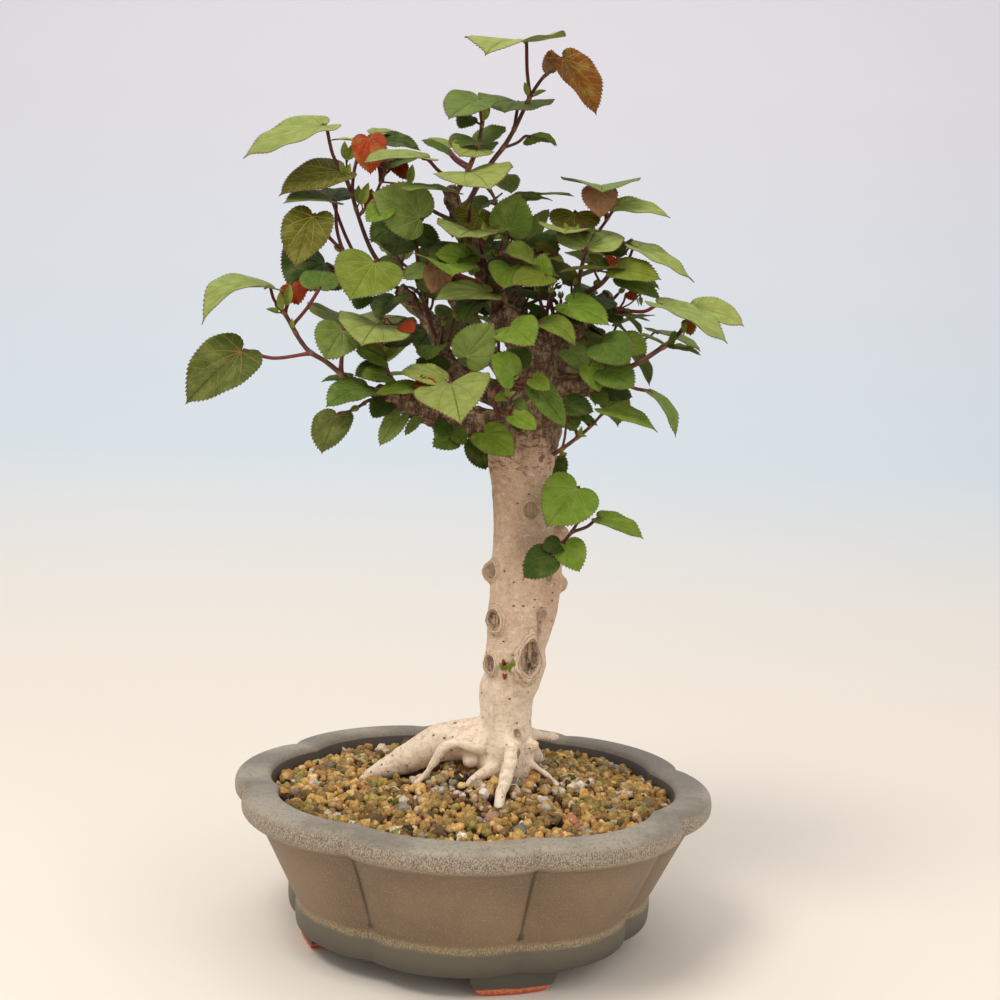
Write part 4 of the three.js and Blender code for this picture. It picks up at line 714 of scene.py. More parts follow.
def normals_of(mesh):
    normals = np.zeros(len(mesh.vertices) * 3, np.float32)
    mesh.vertex_normals.foreach_get("vector", normals)
    return normals.reshape(-1, 3).astype(float)


def set_points(mesh, points):
    mesh.vertices.foreach_set("co", (points * MM).astype(np.float32).ravel())
    mesh.update()


def relaxed(points, mesh, rounds):
    """Eases each point towards the middle of its neighbours."""
    ends = np.zeros(len(mesh.edges) * 2, int)
    mesh.edges.foreach_get("vertices", ends)
    ends = ends.reshape(-1, 2)
    start = np.concatenate([ends[:, 0], ends[:, 1]])
    stop = np.concatenate([ends[:, 1], ends[:, 0]])
    counts = np.bincount(start, minlength=len(points))[:, None]
    for _ in range(rounds):
        sums = [np.bincount(start, weights=points[stop, axis], minlength=len(points)) for axis in range(3)]
        points = points + 0.5 * (np.column_stack(sums) / counts - points)
    return points


# Finishes

class Shade:
    """A number or colour that varies over a surface. Sums on it add the Math nodes that work it out."""

    def __init__(self, finish, socket):
        self.finish = finish
        self.socket = socket

    def worked(self, operation, first, second=None):
        return self.finish.add("ShaderNodeMath", {"operation": operation}, {0: first, 1: second})

    def __add__(self, other):
        return self.worked("ADD", self, other)

    def __radd__(self, other):
        return self.worked("ADD", other, self)

    def __sub__(self, other):
        return self.worked("SUBTRACT", self, other)

    def __rsub__(self, other):
        return self.worked("SUBTRACT", other, self)

    def __mul__(self, other):
        return self.worked("MULTIPLY", self, other)

    def __rmul__(self, other):
        return self.worked("MULTIPLY", other, self)

    def __pow__(self, other):
        return self.worked("POWER", self, other)

    def size(self):
        return self.worked("ABSOLUTE", self)

    def least(self, other):
        return self.worked("MINIMUM", self, other)

    def greatest(self, other):
        return self.worked("MAXIMUM", self, other)

    def repeat(self):
        return self.worked("FRACT", self)

    def step(self, low, high):
        """0 below low, 1 above high and smooth between; the other way round where low is above high."""
        if low > high:
            return 1 - self.step(high, low)
        sockets = {"Value": self, "From Min": low, "From Max": high}
        return self.finish.add("ShaderNodeMapRange", {"interpolation_type": "SMOOTHSTEP"}, sockets)


class Finish:
    """A material in the making, on one Principled surface."""

    def __init__(self, name, **constants):
        self.material = bpy.data.materials.new(name)
        self.material.use_nodes = True
        self.tree = self.material.node_tree
        self.surface = self.tree.nodes["Principled BSDF"]
        for socket, value in constants.items():
            self.surface.inputs[socket.replace("_", " ")].default_value = value

    def add(self, kind, settings=None, sockets=None, out=0):
        """Adds any node: its settings first, then the values or links of its sockets."""
        node = self.tree.nodes.new(kind)
        for setting, value in (settings or {}).items():
            if setting == "stops":
                self.set_stops(node.color_ramp, value)
            else:
                setattr(node, setting, value)
        for socket, value in (sockets or {}).items():
            if value is not None:
                self.plug(node.inputs[socket], value)
        return Shade(self, node.outputs[out])

    def set_stops(self, ramp, stops):
        while len(ramp.elements) < len(stops):
            ramp.elements.new(0.5)
        for element, (place, colour) in zip(ramp.elements, stops):
            element.position = place
            element.color = colour

    def plug(self, socket, value):
        if isinstance(value, Shade):
            self.tree.links.new(value.socket, socket)
        else:
            socket.default_value = value

    def mark(self, name, out="Fac"):
        return self.add("ShaderNodeAttribute", {"attribute_name": name}, out=out)

    def parts(self, vector):
        whole = self.add("ShaderNodeSeparateXYZ", sockets={0: vector})
        return [Shade(self, part) for part in whole.socket.node.outputs]

    def place(self):
        return self.add("ShaderNodeTexCoord", out="Object")

    def scaled(self, vector, scale):
        settings = {"operation": "MULTIPLY"}
        return self.add("ShaderNodeVectorMath", settings, {0: vector, 1: scale})

    def noise(self, vector, scale, detail=3, roughness=0.55, out="Fac"):
        sockets = {"Vector": vector, "Scale": scale, "Detail": detail, "Roughness": roughness}
        return self.add("ShaderNodeTexNoise", sockets=sockets, out=out)

    def cells(self, vector, scale, feature="F1", out="Distance"):
        sockets = {"Vector": vector, "Scale": scale}
        return self.add("ShaderNodeTexVoronoi", {"feature": feature}, sockets, out)

    def mix(self, share, first, second, blend="MIX"):
        settings = {"data_type": "RGBA", "blend_type": blend, "clamp_factor": True}
        node = self.add("ShaderNodeMix", settings, {0: share}, out=2)
        for socket, value in ((6, first), (7, second)):
            colour = value if isinstance(value, Shade) else straight(value)
            self.plug(node.socket.node.inputs[socket], colour)
        return node

    def layered(self, colour, *layers):
        """Lays colours over one another in turn, each where its share says."""
        for share, over in layers:
            colour = self.mix(share, colour, over)
        return colour

    def bump(self, height, depth, strength):
        sockets = {"Height": height, "Distance": depth * MM, "Strength": strength}
        return self.add("ShaderNodeBump", sockets=sockets)

    def done(self, **varying):
        for socket, value in varying.items():
            self.plug(self.surface.inputs[socket.replace("_", " ")], value)
        return self.material


def leaf_finish():
    """Toothed blades: palmate veins with chevrons of side veins between them, and a thin dark margin."""
    finish = Finish("leaf_blade", Specular_IOR_Level=0.13)
    leaf = finish.mark("leaf", "Vector")
    x, y, seed = finish.parts(leaf)
    side = y.size()
    reach = (x * x + side * side) ** 0.5
    angle = side.worked("ARCTAN2", side, x)
    apart = [(angle - start + (reach * VEIN_BEND if start else 0.0)) * reach for start in VEIN_ANGLES]
    nearest = apart[0].size()
    inner = nearest
    for gap in apart[1:]:
        nearest = nearest.least(gap.size())
        inner = inner.least(gap + gap.worked("LESS_THAN", gap, 0.0) * 9)
    main = (nearest + reach * 0.008).step(0.015, 0.004)
    rung = ((reach - inner * 0.95 - inner * inner * 0.8) * 6.6 + seed * 3).repeat()
    branch = (rung - 0.5).size().step(0.425, 0.48) * inner.step(0.34, 0.2) * reach.step(0.1, 0.2)
    web = finish.cells(leaf, 26, "DISTANCE_TO_EDGE").step(0.11, 0.0)
    veins = main.greatest(branch * 0.66).greatest(web * 0.26)
    under = finish.mark("under")
    spread = finish.noise(leaf, 5, 4)
    patch = finish.noise(finish.place(), 140, 3)
    tint = finish.mark("tint", "Color")
    stipple = finish.cells(finish.place(), 650).step(0.2, 0.08) * patch.step(0.45, 0.6) * 0.5
    colour = finish.layered(
        tint,
        (spread.step(0.35, 0.7) * 0.55, finish.mix(1.0, tint, (200, 190, 150), "MULTIPLY")),
        (patch.step(0.48, 0.7) * 0.16 + stipple * 0.4, (172, 176, 92)),
        (veins * 0.8, finish.mark("vein", "Color")),
        (under * 0.35, (130, 142, 74)),
        (finish.mark("edge").step(0.972, 0.998) * 0.8, MARGIN_COLOUR),
    )
    lift = (veins * -1.0 + spread * 0.5) * (1 - under * 2.0) + web * 0.3
    rough = 0.52 + spread * 0.16 + under * 0.12
    return finish.done(Base_Color=colour, Roughness=rough, Normal=finish.bump(lift, 0.35, 0.7))


def stem_finish():
    """Young bark: red-brown with pale specks and fine lengthwise streaks."""
    finish = Finish("young_stem", Specular_IOR_Level=0.4)
    place = finish.place()
    tint = finish.mark("tint", "Color")
    cloud = finish.noise(place, 260, 4)
    specks = finish.cells(place, 900).step(0.22, 0.1)
    warm = finish.mix(1.0, tint, (228, 170, 130), "MULTIPLY")
    colour = finish.layered(tint, (cloud.step(0.35, 0.7) * 0.45, warm), (specks * 0.4, (186, 142, 104)))
    bumps = finish.bump(cloud, 0.25, 0.5)
    return finish.done(Base_Color=colour, Roughness=0.4 + cloud * 0.25, Normal=bumps)


def bark_spots(finish, place):
    """Small corky spots, chosen at chance from cells that lie across the limbs."""
    squashed = finish.scaled(place, (1, 1, 1.6))
    chosen = finish.parts(finish.cells(squashed, 210, out="Color"))[0].step(0.62, 0.64)
    return finish.cells(squashed, 210).step(0.2, 0.12) * chosen


def smooth_bark(finish, root, height, cloud, grain, fine, fibre):
    """Young bark of the trunk, finely lined and creamy on the roots: painted bounce light lightens it low
    down, painted shade from the crown darkens it high up, and its pale dusty flecks are partly painted
    highlights.
    """
    return finish.layered(
        finish.mix(cloud.step(0.36, 0.62), (216, 186, 158), (190, 156, 128)),
        # Painted bounce light: lighter low down.
        (height.step(0.19, 0.11) * 0.8, (246, 226, 200)),
        # Painted shade from the crown: darker high up.
        (height.step(0.19, 0.25) * 0.5, (146, 114, 88)),
        (root * 0.5, (244, 224, 196)),
        (grain.step(0.48, 0.64) * 0.34, (172, 124, 92)),
        (fibre.step(0.54, 0.62) * (0.16 + root * 0.22), (150, 104, 76)),
        # Pale chalky flecks, partly the bark's own bloom and partly painted highlights.
        (grain.step(0.46, 0.36) * 0.36 + fine.step(0.54, 0.64) * 0.3, (244, 230, 208)),
    )


def bare_wood(finish, cracks, fine, fibre):
    """Dead wood inside an old cut: silvered and cracked."""
    wood = finish.mix(fibre.step(0.4, 0.53), (76, 48, 32), (184, 150, 122))
    silvered = finish.mix(fine.step(0.5, 0.62) * 0.6, wood, (214, 200, 182))
    return finish.mix(cracks * 0.55, silvered, (48, 30, 20))


def bark_finish():
    """Old bark: pale and smooth on the trunk, creamy on the roots, rough and brown in the crown, with
    painted shade in the hollows of its relief.

    The heights are in metres. Rings of old growth close round the scars."""
    finish = Finish("old_bark", Specular_IOR_Level=0.25)
    place = finish.place()
    rough_bark = finish.mark("age")
    root = finish.mark("root")
    dark = finish.mark("scar")
    rings = finish.mark("rings")
    relief = finish.mark("relief")
    cloud = finish.noise(place, 38, 5)
    grain = finish.noise(finish.scaled(place, (1, 1, 1.5)), 300, 6, 0.75)
    fine = finish.noise(place, 1100, 4, 0.7)
    fibre = finish.noise(finish.scaled(place, (1, 1, 0.3)), 340, 5, 0.75)
    height = finish.parts(place)[2]
    collar = height.step(0.226, 0.244)
    flush = finish.noise(place, 70, 3).step(0.53, 0.68) * (0.22 + collar * 0.4)
    lenticels = bark_spots(finish, place) * (1 - rough_bark * 0.5)
    flakes = finish.noise(finish.scaled(place, (1, 1, 2)), 190, 5, 0.75).step(0.53, 0.59)
    lines = ((rings * 5 + cloud * 0.8 + fine * 0.3).repeat() - 0.5).size().step(0.36, 0.48)
    ringed = lines * rings.step(1.45, 1.15) * rings.step(0.6, 0.72)
    cracks = finish.cells(finish.scaled(place, (1, 1, 0.3)), 260, "DISTANCE_TO_EDGE").step(0.1, 0.02)
    old = finish.mix(fibre.step(0.42, 0.6), (62, 42, 28), (160, 132, 102))
    colour = finish.layered(
        smooth_bark(finish, root, height, cloud, grain, fine, fibre),
        (flush, (190, 162, 110)),
        (rough_bark, finish.mix(fine.step(0.52, 0.66) * 0.5, old, (190, 168, 138))),
        # Painted shade: darker in the hollows of the bark's relief.
        (relief.step(0.42, 0.12) * 0.6, (84, 60, 42)),
        (lenticels * 0.9, (112, 60, 36)),
        (flakes * (0.1 + collar * 0.75), (92, 58, 36)),
        (rings.step(1.4, 1.0) * (1 - rough_bark) * 0.4, (222, 196, 160)),
        (ringed * 0.6, (116, 74, 46)),
        (rings.step(0.96, 0.82) * (0.25 + dark * 0.6), (96, 62, 40)),
        (dark, bare_wood(finish, cracks, fine, fibre)),
    )
    rib = fibre * (0.2 + rough_bark * 1.2 + root * 0.4)
    lift = grain * 0.6 + fine * 0.3 + rib + lenticels * 0.4 - ringed * 0.5 - dark * cracks * 0.8
    return finish.done(Base_Color=colour, Roughness=0.68 + cloud * 0.2, Normal=finish.bump(lift, 0.8, 0.8))


def glaze_finish():
    """Stoneware glaze: taupe body with fine specks, grey flecked rim, darker foot band, dark seams, and
    painted shade under the rim's overhang.

    The heights are the zone mark's, in millimetres."""
    finish = Finish("pot_glaze", Specular_IOR_Level=0.5)
    place = finish.place()
    high, seam, outside = finish.parts(finish.mark("zone", "Vector"))
    cloud = finish.noise(place, 22, 5)
    fine = finish.noise(place, 620, 4, 0.7)
    fleck = finish.noise(finish.scaled(place, (1, 1, 0.6)), 1900, 4, 0.7)
    wander = high + (finish.noise(place, 60, 3) - 0.5) * 2.4 + (fine - 0.5) * 1.4
    streak = finish.noise(finish.scaled(place, (1, 1, 0.08)), 90, 3)
    specks = finish.cells(place, 330).step(0.14, 0.06) * fine.step(0.45, 0.6)
    dusk = finish.mix(high.step(21, 11), (98, 90, 74), (78, 72, 62))
    ochre = wander.step(21.4, 23.2) * wander.step(27, 24) * fleck.step(0.44, 0.56)
    body = finish.layered(
        finish.mix(cloud.step(0.35, 0.68), (114, 94, 71), (132, 109, 83)),
        (streak.step(0.5, 0.72) * 0.2, (96, 80, 62)),
        # Painted shade under the rim's overhang: the body darkens towards the rim.
        (wander.step(50, 66) * 0.45, (104, 84, 66)),
        (fleck.step(0.52, 0.64) * 0.5, (166, 146, 114)),
        (specks * 0.7, (186, 174, 146)),
        (wander.step(24.6, 22.6), dusk),
        (ochre * 0.75, (172, 152, 112)),
        (seam.step(1.5, 0.3) * (0.4 + streak * 0.6) * high.step(28, 36), (58, 44, 32)),
    )
    worn = finish.mix(cloud.step(0.4, 0.6), (126, 116, 100), (160, 149, 130))
    rim = finish.layered(
        finish.mix(fleck.step(0.42, 0.58), (108, 92, 74), (172, 158, 138)),
        # Painted shade on the rim's underside.
        (wander.step(69.2, 67) * 0.6, (120, 98, 70)),
        (high.step(75.2, 77.4), finish.mix(fine.step(0.5, 0.64) * 0.6, worn, (106, 94, 76))),
    )
    lip = wander.step(65.8, 67.4)
    inside = finish.mix(cloud, (84, 74, 64), (60, 52, 45))
    glazed = finish.mix(outside, inside, finish.mix(lip, body, rim))
    bare = (high + (cloud - 0.5) * 5 + (fine - 0.5) * 2).step(3.4, 2.8)
    colour = finish.mix(bare, glazed, finish.mix(fine.step(0.35, 0.65), (178, 84, 54), (218, 126, 88)))
    lift = fine * 0.6 + fleck * (0.3 + lip * 0.5) + cloud * 0.5 - specks
    rough = 0.4 + cloud * 0.16 + fine * 0.1 + bare * 0.35
    return finish.done(Base_Color=colour, Roughness=rough, Normal=finish.bump(lift, 0.24, 0.7))


def grain_finish(name, dust_and_glints):
    """Baked earth grains, pumice and pebbles, each in its own colour, dusty, with painted highlights in
    fine flecks and a mossy bloom.
    """
    finish = Finish(name, Specular_IOR_Level=0.2)
    place = finish.place()
    tint = finish.mark("tint", "Color")
    cloud = finish.noise(place, 460, 5, 0.75)
    fine = finish.noise(place, 1300, 4, 0.75)
    umber = finish.mix(1.0, tint, (158, 116, 74), "MULTIPLY")
    dusty = finish.mix(cloud.step(0.44, 0.58) * dust_and_glints, tint, umber)
    # Painted highlights: fine flecks screened lighter.
    lit = finish.mix(fine.step(0.5, 0.62) * dust_and_glints * 1.5, dusty, (130, 110, 74), "SCREEN")
    mossy = finish.noise(place, 45, 3).step(0.52, 0.66) * cloud.step(0.4, 0.6)
    colour = finish.mix(mossy * dust_and_glints * 0.7, lit, (138, 136, 52))
    bumps = finish.bump(cloud + fine, 0.6, dust_and_glints)
    return finish.done(Base_Color=colour, Roughness=0.85 + fine * 0.1, Normal=bumps)


def earth_finish():
    """Fine earth between the grains, near black: partly its own damp tone and partly painted shade for the
    gaps between the grains.
    """
    finish = Finish("dark_earth", Specular_IOR_Level=0.2)
    place = finish.place()
    cloud = finish.noise(place, 160, 5, 0.7)
    # Near black: painted shade for the gaps between the grains, as well as the earth's damp tone.
    colour = finish.mix(cloud.step(0.35, 0.65), (34, 24, 16), (84, 60, 36))
    return finish.done(Base_Color=colour, Roughness=0.8 + cloud * 0.15, Normal=finish.bump(cloud, 1.2, 0.8))


def dull_finish(name, colours, scale, roughness=0.7):
    """Twigs, fibres, moss and moulded screens: two tones clouded together."""
    finish = Finish(name, Specular_IOR_Level=0.25)
    cloud = finish.noise(finish.place(), scale, 4, 0.6)
    colour = finish.mix(cloud.step(0.36, 0.64), *colours)
    rough = roughness + cloud * 0.1
    return finish.done(Base_Color=colour, Roughness=rough, Normal=finish.bump(cloud, 0.3, 0.6))


def sweep_finish(floor, wall, top):
    """A pale studio sweep whose tone turns with height, from the floor's to the wall's to the top's."""
    finish = Finish("studio_sweep", Specular_IOR_Level=0.1)
    place = finish.place()
    stops = [(0.0, (*floor, 1)), (0.22, (*wall, 1)), (0.95, (*top, 1))]
    colour = finish.add("ShaderNodeValToRGB", {"stops": stops}, {"Fac": finish.parts(place)[2]})
    return finish.done(Base_Color=colour, Roughness=0.86 + finish.noise(place, 30, 2) * 0.08)


# Leaves

def blade_axes(heading, outlook):
    """A blade's own axes: along the midrib, to the side, and out of its upper face towards its outlook."""
    along = unit(heading)
    out = unit(outlook - along * (along @ outlook))
    return along, np.cross(along, out), out


def outlook_of(facing, lean):
    """The way an upper face looks that turns to the viewer and leans to the right by these angles."""
    turn, tilt = math.radians(facing), math.radians(lean)
    level = math.cos(tilt)
    return turning(POT_TURN, "Z") @ (math.sin(tilt), -math.sin(turn) * level, math.cos(turn) * level)


def rim_of(outline, length, width, pitch, depth):
    """One half of the blade's rim from tip to stalk, plain and toothed, in blade lengths."""
    line = flow(np.column_stack([np.array(outline), np.zeros(len(outline))]), 0.02)[:, :2]
    real = line * (1, width)
    run = reaches(real)
    teeth = max(2, round(run[-1] * length / pitch / 4)) * 4
    phases = np.array((0, 0.24, 0.62))
    at = np.concatenate([k + phases for k in range(teeth)] + [[teeth]]) / teeth * run[-1]
    plain = np.column_stack([np.interp(at, run, line[:, 0]), np.interp(at, run, line[:, 1])])
    slope = np.gradient(plain * (1, width), axis=0)
    slope /= np.linalg.norm(slope, axis=1)[:, None]
    fade = smoothstep(0.02, 0.12, at / run[-1]) * smoothstep(1, 0.9, at / run[-1])
    height = np.append(np.tile((0.0, 1.0, 0.45), teeth), 0) * fade * depth / length
    outward = np.column_stack([slope[:, 1], -slope[:, 0] / width])
    toothed = plain + height[:, None] * (outward + np.array((0.55, 0)))
    return plain, toothed


RING_SHARES = (0.34, 0.64, 0.88, 1)
RING_STRIDES = (4, 2, 2, 1)


def sheet_grid(plain, toothed):
    """The flat blade as a fan of rings from the stalk out to the rim: points, triangles and rim ring."""
    def whole(half):
        return np.vstack([half[::-1] * (1, -1), half[1:]])

    plain, toothed = whole(plain), whole(toothed)
    points, edges, rings = [np.zeros((1, 2))], [np.zeros(1)], []
    count = 1
    for share, stride in zip(RING_SHARES, RING_STRIDES):
        ring = (toothed if share == 1 else plain * share)[::stride]
        points.append(ring)
        edges.append(np.full(len(ring), share))
        rings.append(np.arange(count, count + len(ring)))
        count += len(ring)
    faces = [np.column_stack([np.zeros(len(rings[0]) - 1, int), rings[0][:-1], rings[0][1:]])]
    for inner, outer in zip(rings, rings[1:]):
        if len(inner) == len(outer):
            faces.append(np.column_stack([inner[:-1], outer[:-1], outer[1:]]))
            faces.append(np.column_stack([inner[:-1], outer[1:], inner[1:]]))
        else:
            left, middle, right = outer[:-2:2], outer[1::2], outer[2::2]
            faces.append(np.column_stack([inner[:-1], left, middle]))
            faces.append(np.column_stack([inner[:-1], middle, inner[1:]]))
            faces.append(np.column_stack([inner[1:], middle, right]))
    border = np.concatenate([rings[-1], [r[-1] for r in rings[-2::-1]], [0], [r[0] for r in rings[:-1]]])
    return np.vstack(points), np.concatenate(edges), np.vstack(faces), border


def quilting(flat, reach):
    """How far the blade swells between its main veins."""
    angle = np.arctan2(np.abs(flat[:, 1]), flat[:, 0]) + VEIN_BEND * reach
    angle[np.abs(flat[:, 1]) < 1e-6] = 0
    slots = np.array((*VEIN_ANGLES, 2.6))
    k = np.clip(np.searchsorted(slots, angle, side="right") - 1, 0, len(slots) - 2)
    share = (angle - slots[k]) / (slots[k + 1] - slots[k])
    return np.sin(np.clip(share, 0, 1) * math.pi) ** 2 * reach * np.clip(1.05 - reach, 0, 1)


def waved(height, flat, draw):
    """A blade's height with its rim's waves, the swelling between its veins, a drooping tip and a tilt."""
    x, y = flat.T
    reach = np.hypot(x, y)
    angle = np.arctan2(y, x)
    phase, turns = draw.uniform(0, 6), draw.uniform(3.2, 5.2)
    rim_wave = np.sin(angle * turns + phase) + 0.5 * np.sin(angle * turns * 2.3 + phase * 2)
    waviness = bpy.context.scene.bonsai_leaf.waviness
    height = height + waviness * rim_wave * reach ** 2 * smoothstep(0, 0.4, reach)
    height += 0.07 * quilting(flat, reach)
    height -= draw.uniform(0.0, 0.35) * np.clip(x - 0.62, 0, 1) ** 2
    return height + draw.uniform(-0.05, 0.05) * y


def add_blade(piece, base, tip, axes, kind, width, fold, arch, draw):
    """One leaf blade with thickness, waved, folded along its midrib and toothed."""
    look = bpy.context.scene.bonsai_leaf
    along, side, out = axes
    length = np.linalg.norm(tip - base)
    spear = kind == "G"
    width = 1.1 if spear else max(width, 0.5) * BLADE_SLIMMING
    grown = 0.58 + 0.42 * min(length, 50) / 50
    pitch, depth = (4, 0) if spear else (look.tooth_pitch / MM * grown, look.tooth_depth / MM * grown)
    halves = rim_of(SPEAR if spear else HEART, length, width, pitch, depth)
    flat, edge, faces, border = sheet_grid(*halves)
    x, y = flat.T
    crease = np.sqrt(y * y + 0.0009) - 0.03
    height = arch * 4 * x * (1 - x) + math.tan(math.radians(38 if spear else fold)) * crease * width
    if not spear:
        height = waved(height, flat, draw)
    sway = draw.uniform(-0.05, 0.05) * np.clip(x, 0, 1) ** 2
    spread = np.outer(x, along) + np.outer((y + sway) * width, side)
    middle = base + length * (spread + np.outer(height, out))
    half = look.thickness / MM / 2 * (1 - 0.4 * smoothstep(0.9, 1, edge))
    count = len(flat)
    points = np.vstack([middle + out * half[:, None], middle - out * half[:, None]])
    beside = np.roll(border, -1)
    wall = np.column_stack([border, beside, beside + count, border + count])
    blade, vein = KINDS[kind]
    light = draw.uniform(0.9, 1.1)
    warm = draw.uniform(-0.04, 0.04)
    shift = np.array((1 + warm, 1, 1 - warm, 1)) * (light, light, light, 1)
    seed = draw.uniform(0, 1)
    leaf = np.column_stack([flat, np.full(count, seed)])
    marks = {
        "tint": np.array(straight(blade)) * shift, "vein": np.array(straight(vein)) * shift,
        "leaf": np.vstack([leaf, leaf]), "edge": np.concatenate([edge, edge]),
        "under": np.repeat((0.0, 1.0), count),
    }
    piece.add(points, [faces[:, ::-1], faces + count, wall], **marks)


def add_petiole(piece, start, base, axes, draw, short=False):
    """A leaf's stalk: swollen at both ends, sagging when it is long, bending into the blade."""
    along, _, out = axes
    length = np.linalg.norm(base - start)
    radius = PETIOLE_RADIUS * min(max(length / 14, 0.8), 1.2) * (0.6 if short else 1)
    end = base + along * 1.2 - out * radius * 0.5
    middle = start + (base - start) * 0.55
    if length >= LONG_STALK:
        middle = middle - UPRIGHT * 0.08 * length
    else:
        middle = middle - (out * 0.04 + UPRIGHT * 0.02) * length
    lead = base - along * min(length * 0.12, 2) - out * radius * 0.6
    rows = [start, middle, lead, end] if length > 5 else [start, end]
    path = flow(rows, max(1.1, length / 9))
    share = reaches(path) / reaches(path)[-1]
    radii = radius * (0.82 + 0.5 * np.exp(-(share / 0.07) ** 2) + 0.25 * np.exp(-((1 - share) / 0.09) ** 2))
    radii[-1] *= 0.35
    points, blocks = tube(path, radii, STALK_SIDES)
    piece.add(points, blocks, 1, tint=toned(PETIOLE_COLOUR, draw.uniform(0.75, 1.25)))


def nearest_on(path, place):
    """The nearest point of a path: how far off it is, where it is, and the start of its stretch."""
    start, run = path[:-1], np.diff(path, axis=0)
    share = np.clip(((place - start) * run).sum(1) / (run * run).sum(1), 0, 1)
    points = start + run * share[:, None]
    gaps = np.linalg.norm(points - place, axis=1)
    k = int(np.argmin(gaps))
    return gaps[k], points[k], start[k]


def stalk_start(paths, place, share):
    """Where a stalk leaves the nearest stem, further back along it the further off its leaf is."""
    gap, point, before = min((nearest_on(path, place) for path in paths), key=lambda found: found[0])
    back = before - point
    slide = STALK_SINK + share * gap
    return point + back * min(0.95, slide / max(np.linalg.norm(back), 1))


def add_stem(piece, path, first, last, starts, bud, draw):
    """A stem that tapers and swells where each stalk leaves it, and a bud of a given length at its end."""
    rows = flow(np.column_stack([path, np.linspace(first, last, len(path))]), 1.2)
    line, radii = rows[:, :3], rows[:, 3] * STEM_SLIMMING
    node = np.zeros(len(line))
    for start in starts:
        gap = np.linalg.norm(line - start, axis=1)
        if gap.min() < 3:
            node += np.exp(-(gap / 1.1) ** 2)
    node = np.clip(node, 0, 1)
    radii *= 1 + 0.24 * node
    radii += 0.08 * noises(line, 3, 3)
    share = reaches(line) / reaches(line)[-1]
    radii *= 1 - 0.55 * smoothstep(1 - 1.6 / max(reaches(line)[-1], 4), 1, share)
    points, blocks = tube(line, radii, STEM_SIDES)
    old, young, ring = (np.array(straight(colour)) for colour in (STEM_OLD, STEM_YOUNG, NODE_COLOUR))
    tint = old + (young - old) * smoothstep(0.2, 0.9, share)[:, None]
    tint = tint + (ring - tint) * 0.55 * node[:, None]
    piece.add(points, blocks, 1, tint=along_tube(tint, STEM_SIDES))
    add_bud(piece, path[-1], unit(path[-1] - path[-2]), bud, draw)


def add_bud(piece, place, heading, size, draw):
    """A pointed bud: three scales that close round a stem's end."""
    for turn in range(3):
        angle = turn * 2.1 + draw.uniform(0, 1)
        across = unit(np.cross(heading, RIGHT + 0.3 * UP))
        lean = across * math.cos(angle) + np.cross(heading, across) * math.sin(angle)
        tip = place + heading * size + lean * size * 0.16
        axes = blade_axes(tip - place, lean)
        add_blade(piece, place - heading * 0.4, tip, axes, "G", 1, 30, 0.1, draw)


def add_shoot(piece, stems, leaves, seed):
    """A whole leafy shoot into one mesh."""
    draw = np.random.default_rng(seed)
    paths = [spots(stem[2:]) for stem in stems]
    starts = []
    for row in leaves:
        base, tip = spots([row[:3], row[3:6]])
        facing, lean, kind, width = row[6:10]
        fold, arch, stalk = (*row[10:], *USUAL_LEAF[len(row) - 10:])
        axes = blade_axes(tip - base, outlook_of(facing, lean))
        start = stalk_start(paths, spot(stalk), 0) if stalk else stalk_start(paths, base, STALK_RISE)
        starts.append(start)
        if np.linalg.norm(start - base) > SITTING:
            add_petiole(piece, start, base, axes, draw, short=kind == "G")
        add_blade(piece, base, tip, axes, kind, width, fold, arch, draw)
    for path, (first, last, *_) in zip(paths, stems):
        add_stem(piece, path, first, last, starts, BUD_LENGTH, draw)


def leafy(name, piece, finishes, *nodes):
    """Shows a piece of leaves and stems."""
    placed(shown(name, piece.mesh(name), finishes, LEAF_CREASE), "leaf", *nodes)


# Far side leaves by rule, the same as in their solids

def lined_draw(seed):
    """An evenly spread number from 0 to 1 at each call."""
    state = seed
    while True:
        state = (state * 1664525 + 1013904223) % 4294967296
        yield state / 4294967296


def point_along(path, reach):
    run = reaches(path)
    return np.array([np.interp(min(reach, run[-1]), run, path[:, axis]) for axis in range(3)])


def spiral_leaves(path, count, longest, draw):
    """Leaves set round a stem in a spiral: each looks outwards and hangs a little."""
    length = reaches(path)[-1]
    heading = unit(path[-1] - path[0])
    level = unit(UPRIGHT - heading * (heading @ UPRIGHT))
    for i in range(count):
        start = point_along(path, (0.3 + 0.7 * (i + 1) / count) * length)
        turn = turning(GOLDEN_TURN * i + 40 * next(draw), Vector(heading))
        outward = unit((turn @ level + heading * 0.5) * (1, 1, 0.4))
        size = longest * (0.7 + 0.3 * next(draw))
        base = start + outward * size * 0.4 + UPRIGHT * size * 0.15
        tip = base + outward * size - UPRIGHT * size * (0.25 + 0.3 * next(draw))
        yield start, base, tip


def add_far_shoot(piece, stem, count, longest, seed):
    """A shoot grown by rule into one mesh, with a few lesser leaves beside those of its solid."""
    path = spots(stem[2:])
    draw = np.random.default_rng(seed + 500)
    starts = []
    for start, base, tip in spiral_leaves(path, count, longest, lined_draw(seed)):
        axes = blade_axes(tip - base, UPRIGHT)
        starts.append(start)
        add_petiole(piece, start, base, axes, draw)
        add_blade(piece, base, tip, axes, draw.choice(list("MMNDLS")), 0.95, 8, 0.05, draw)
    for _ in range(3):
        place = point_along(path, draw.uniform(0.3, 1) * reaches(path)[-1])
        # The lesser leaves take dark kinds, partly painted shade on the far side.
        add_side_leaf(piece, place, unit(path[-1] - path[0]), draw.uniform(13, 19), "DMDM", draw)
    add_stem(piece, path, stem[0], stem[1], starts, 4, draw)


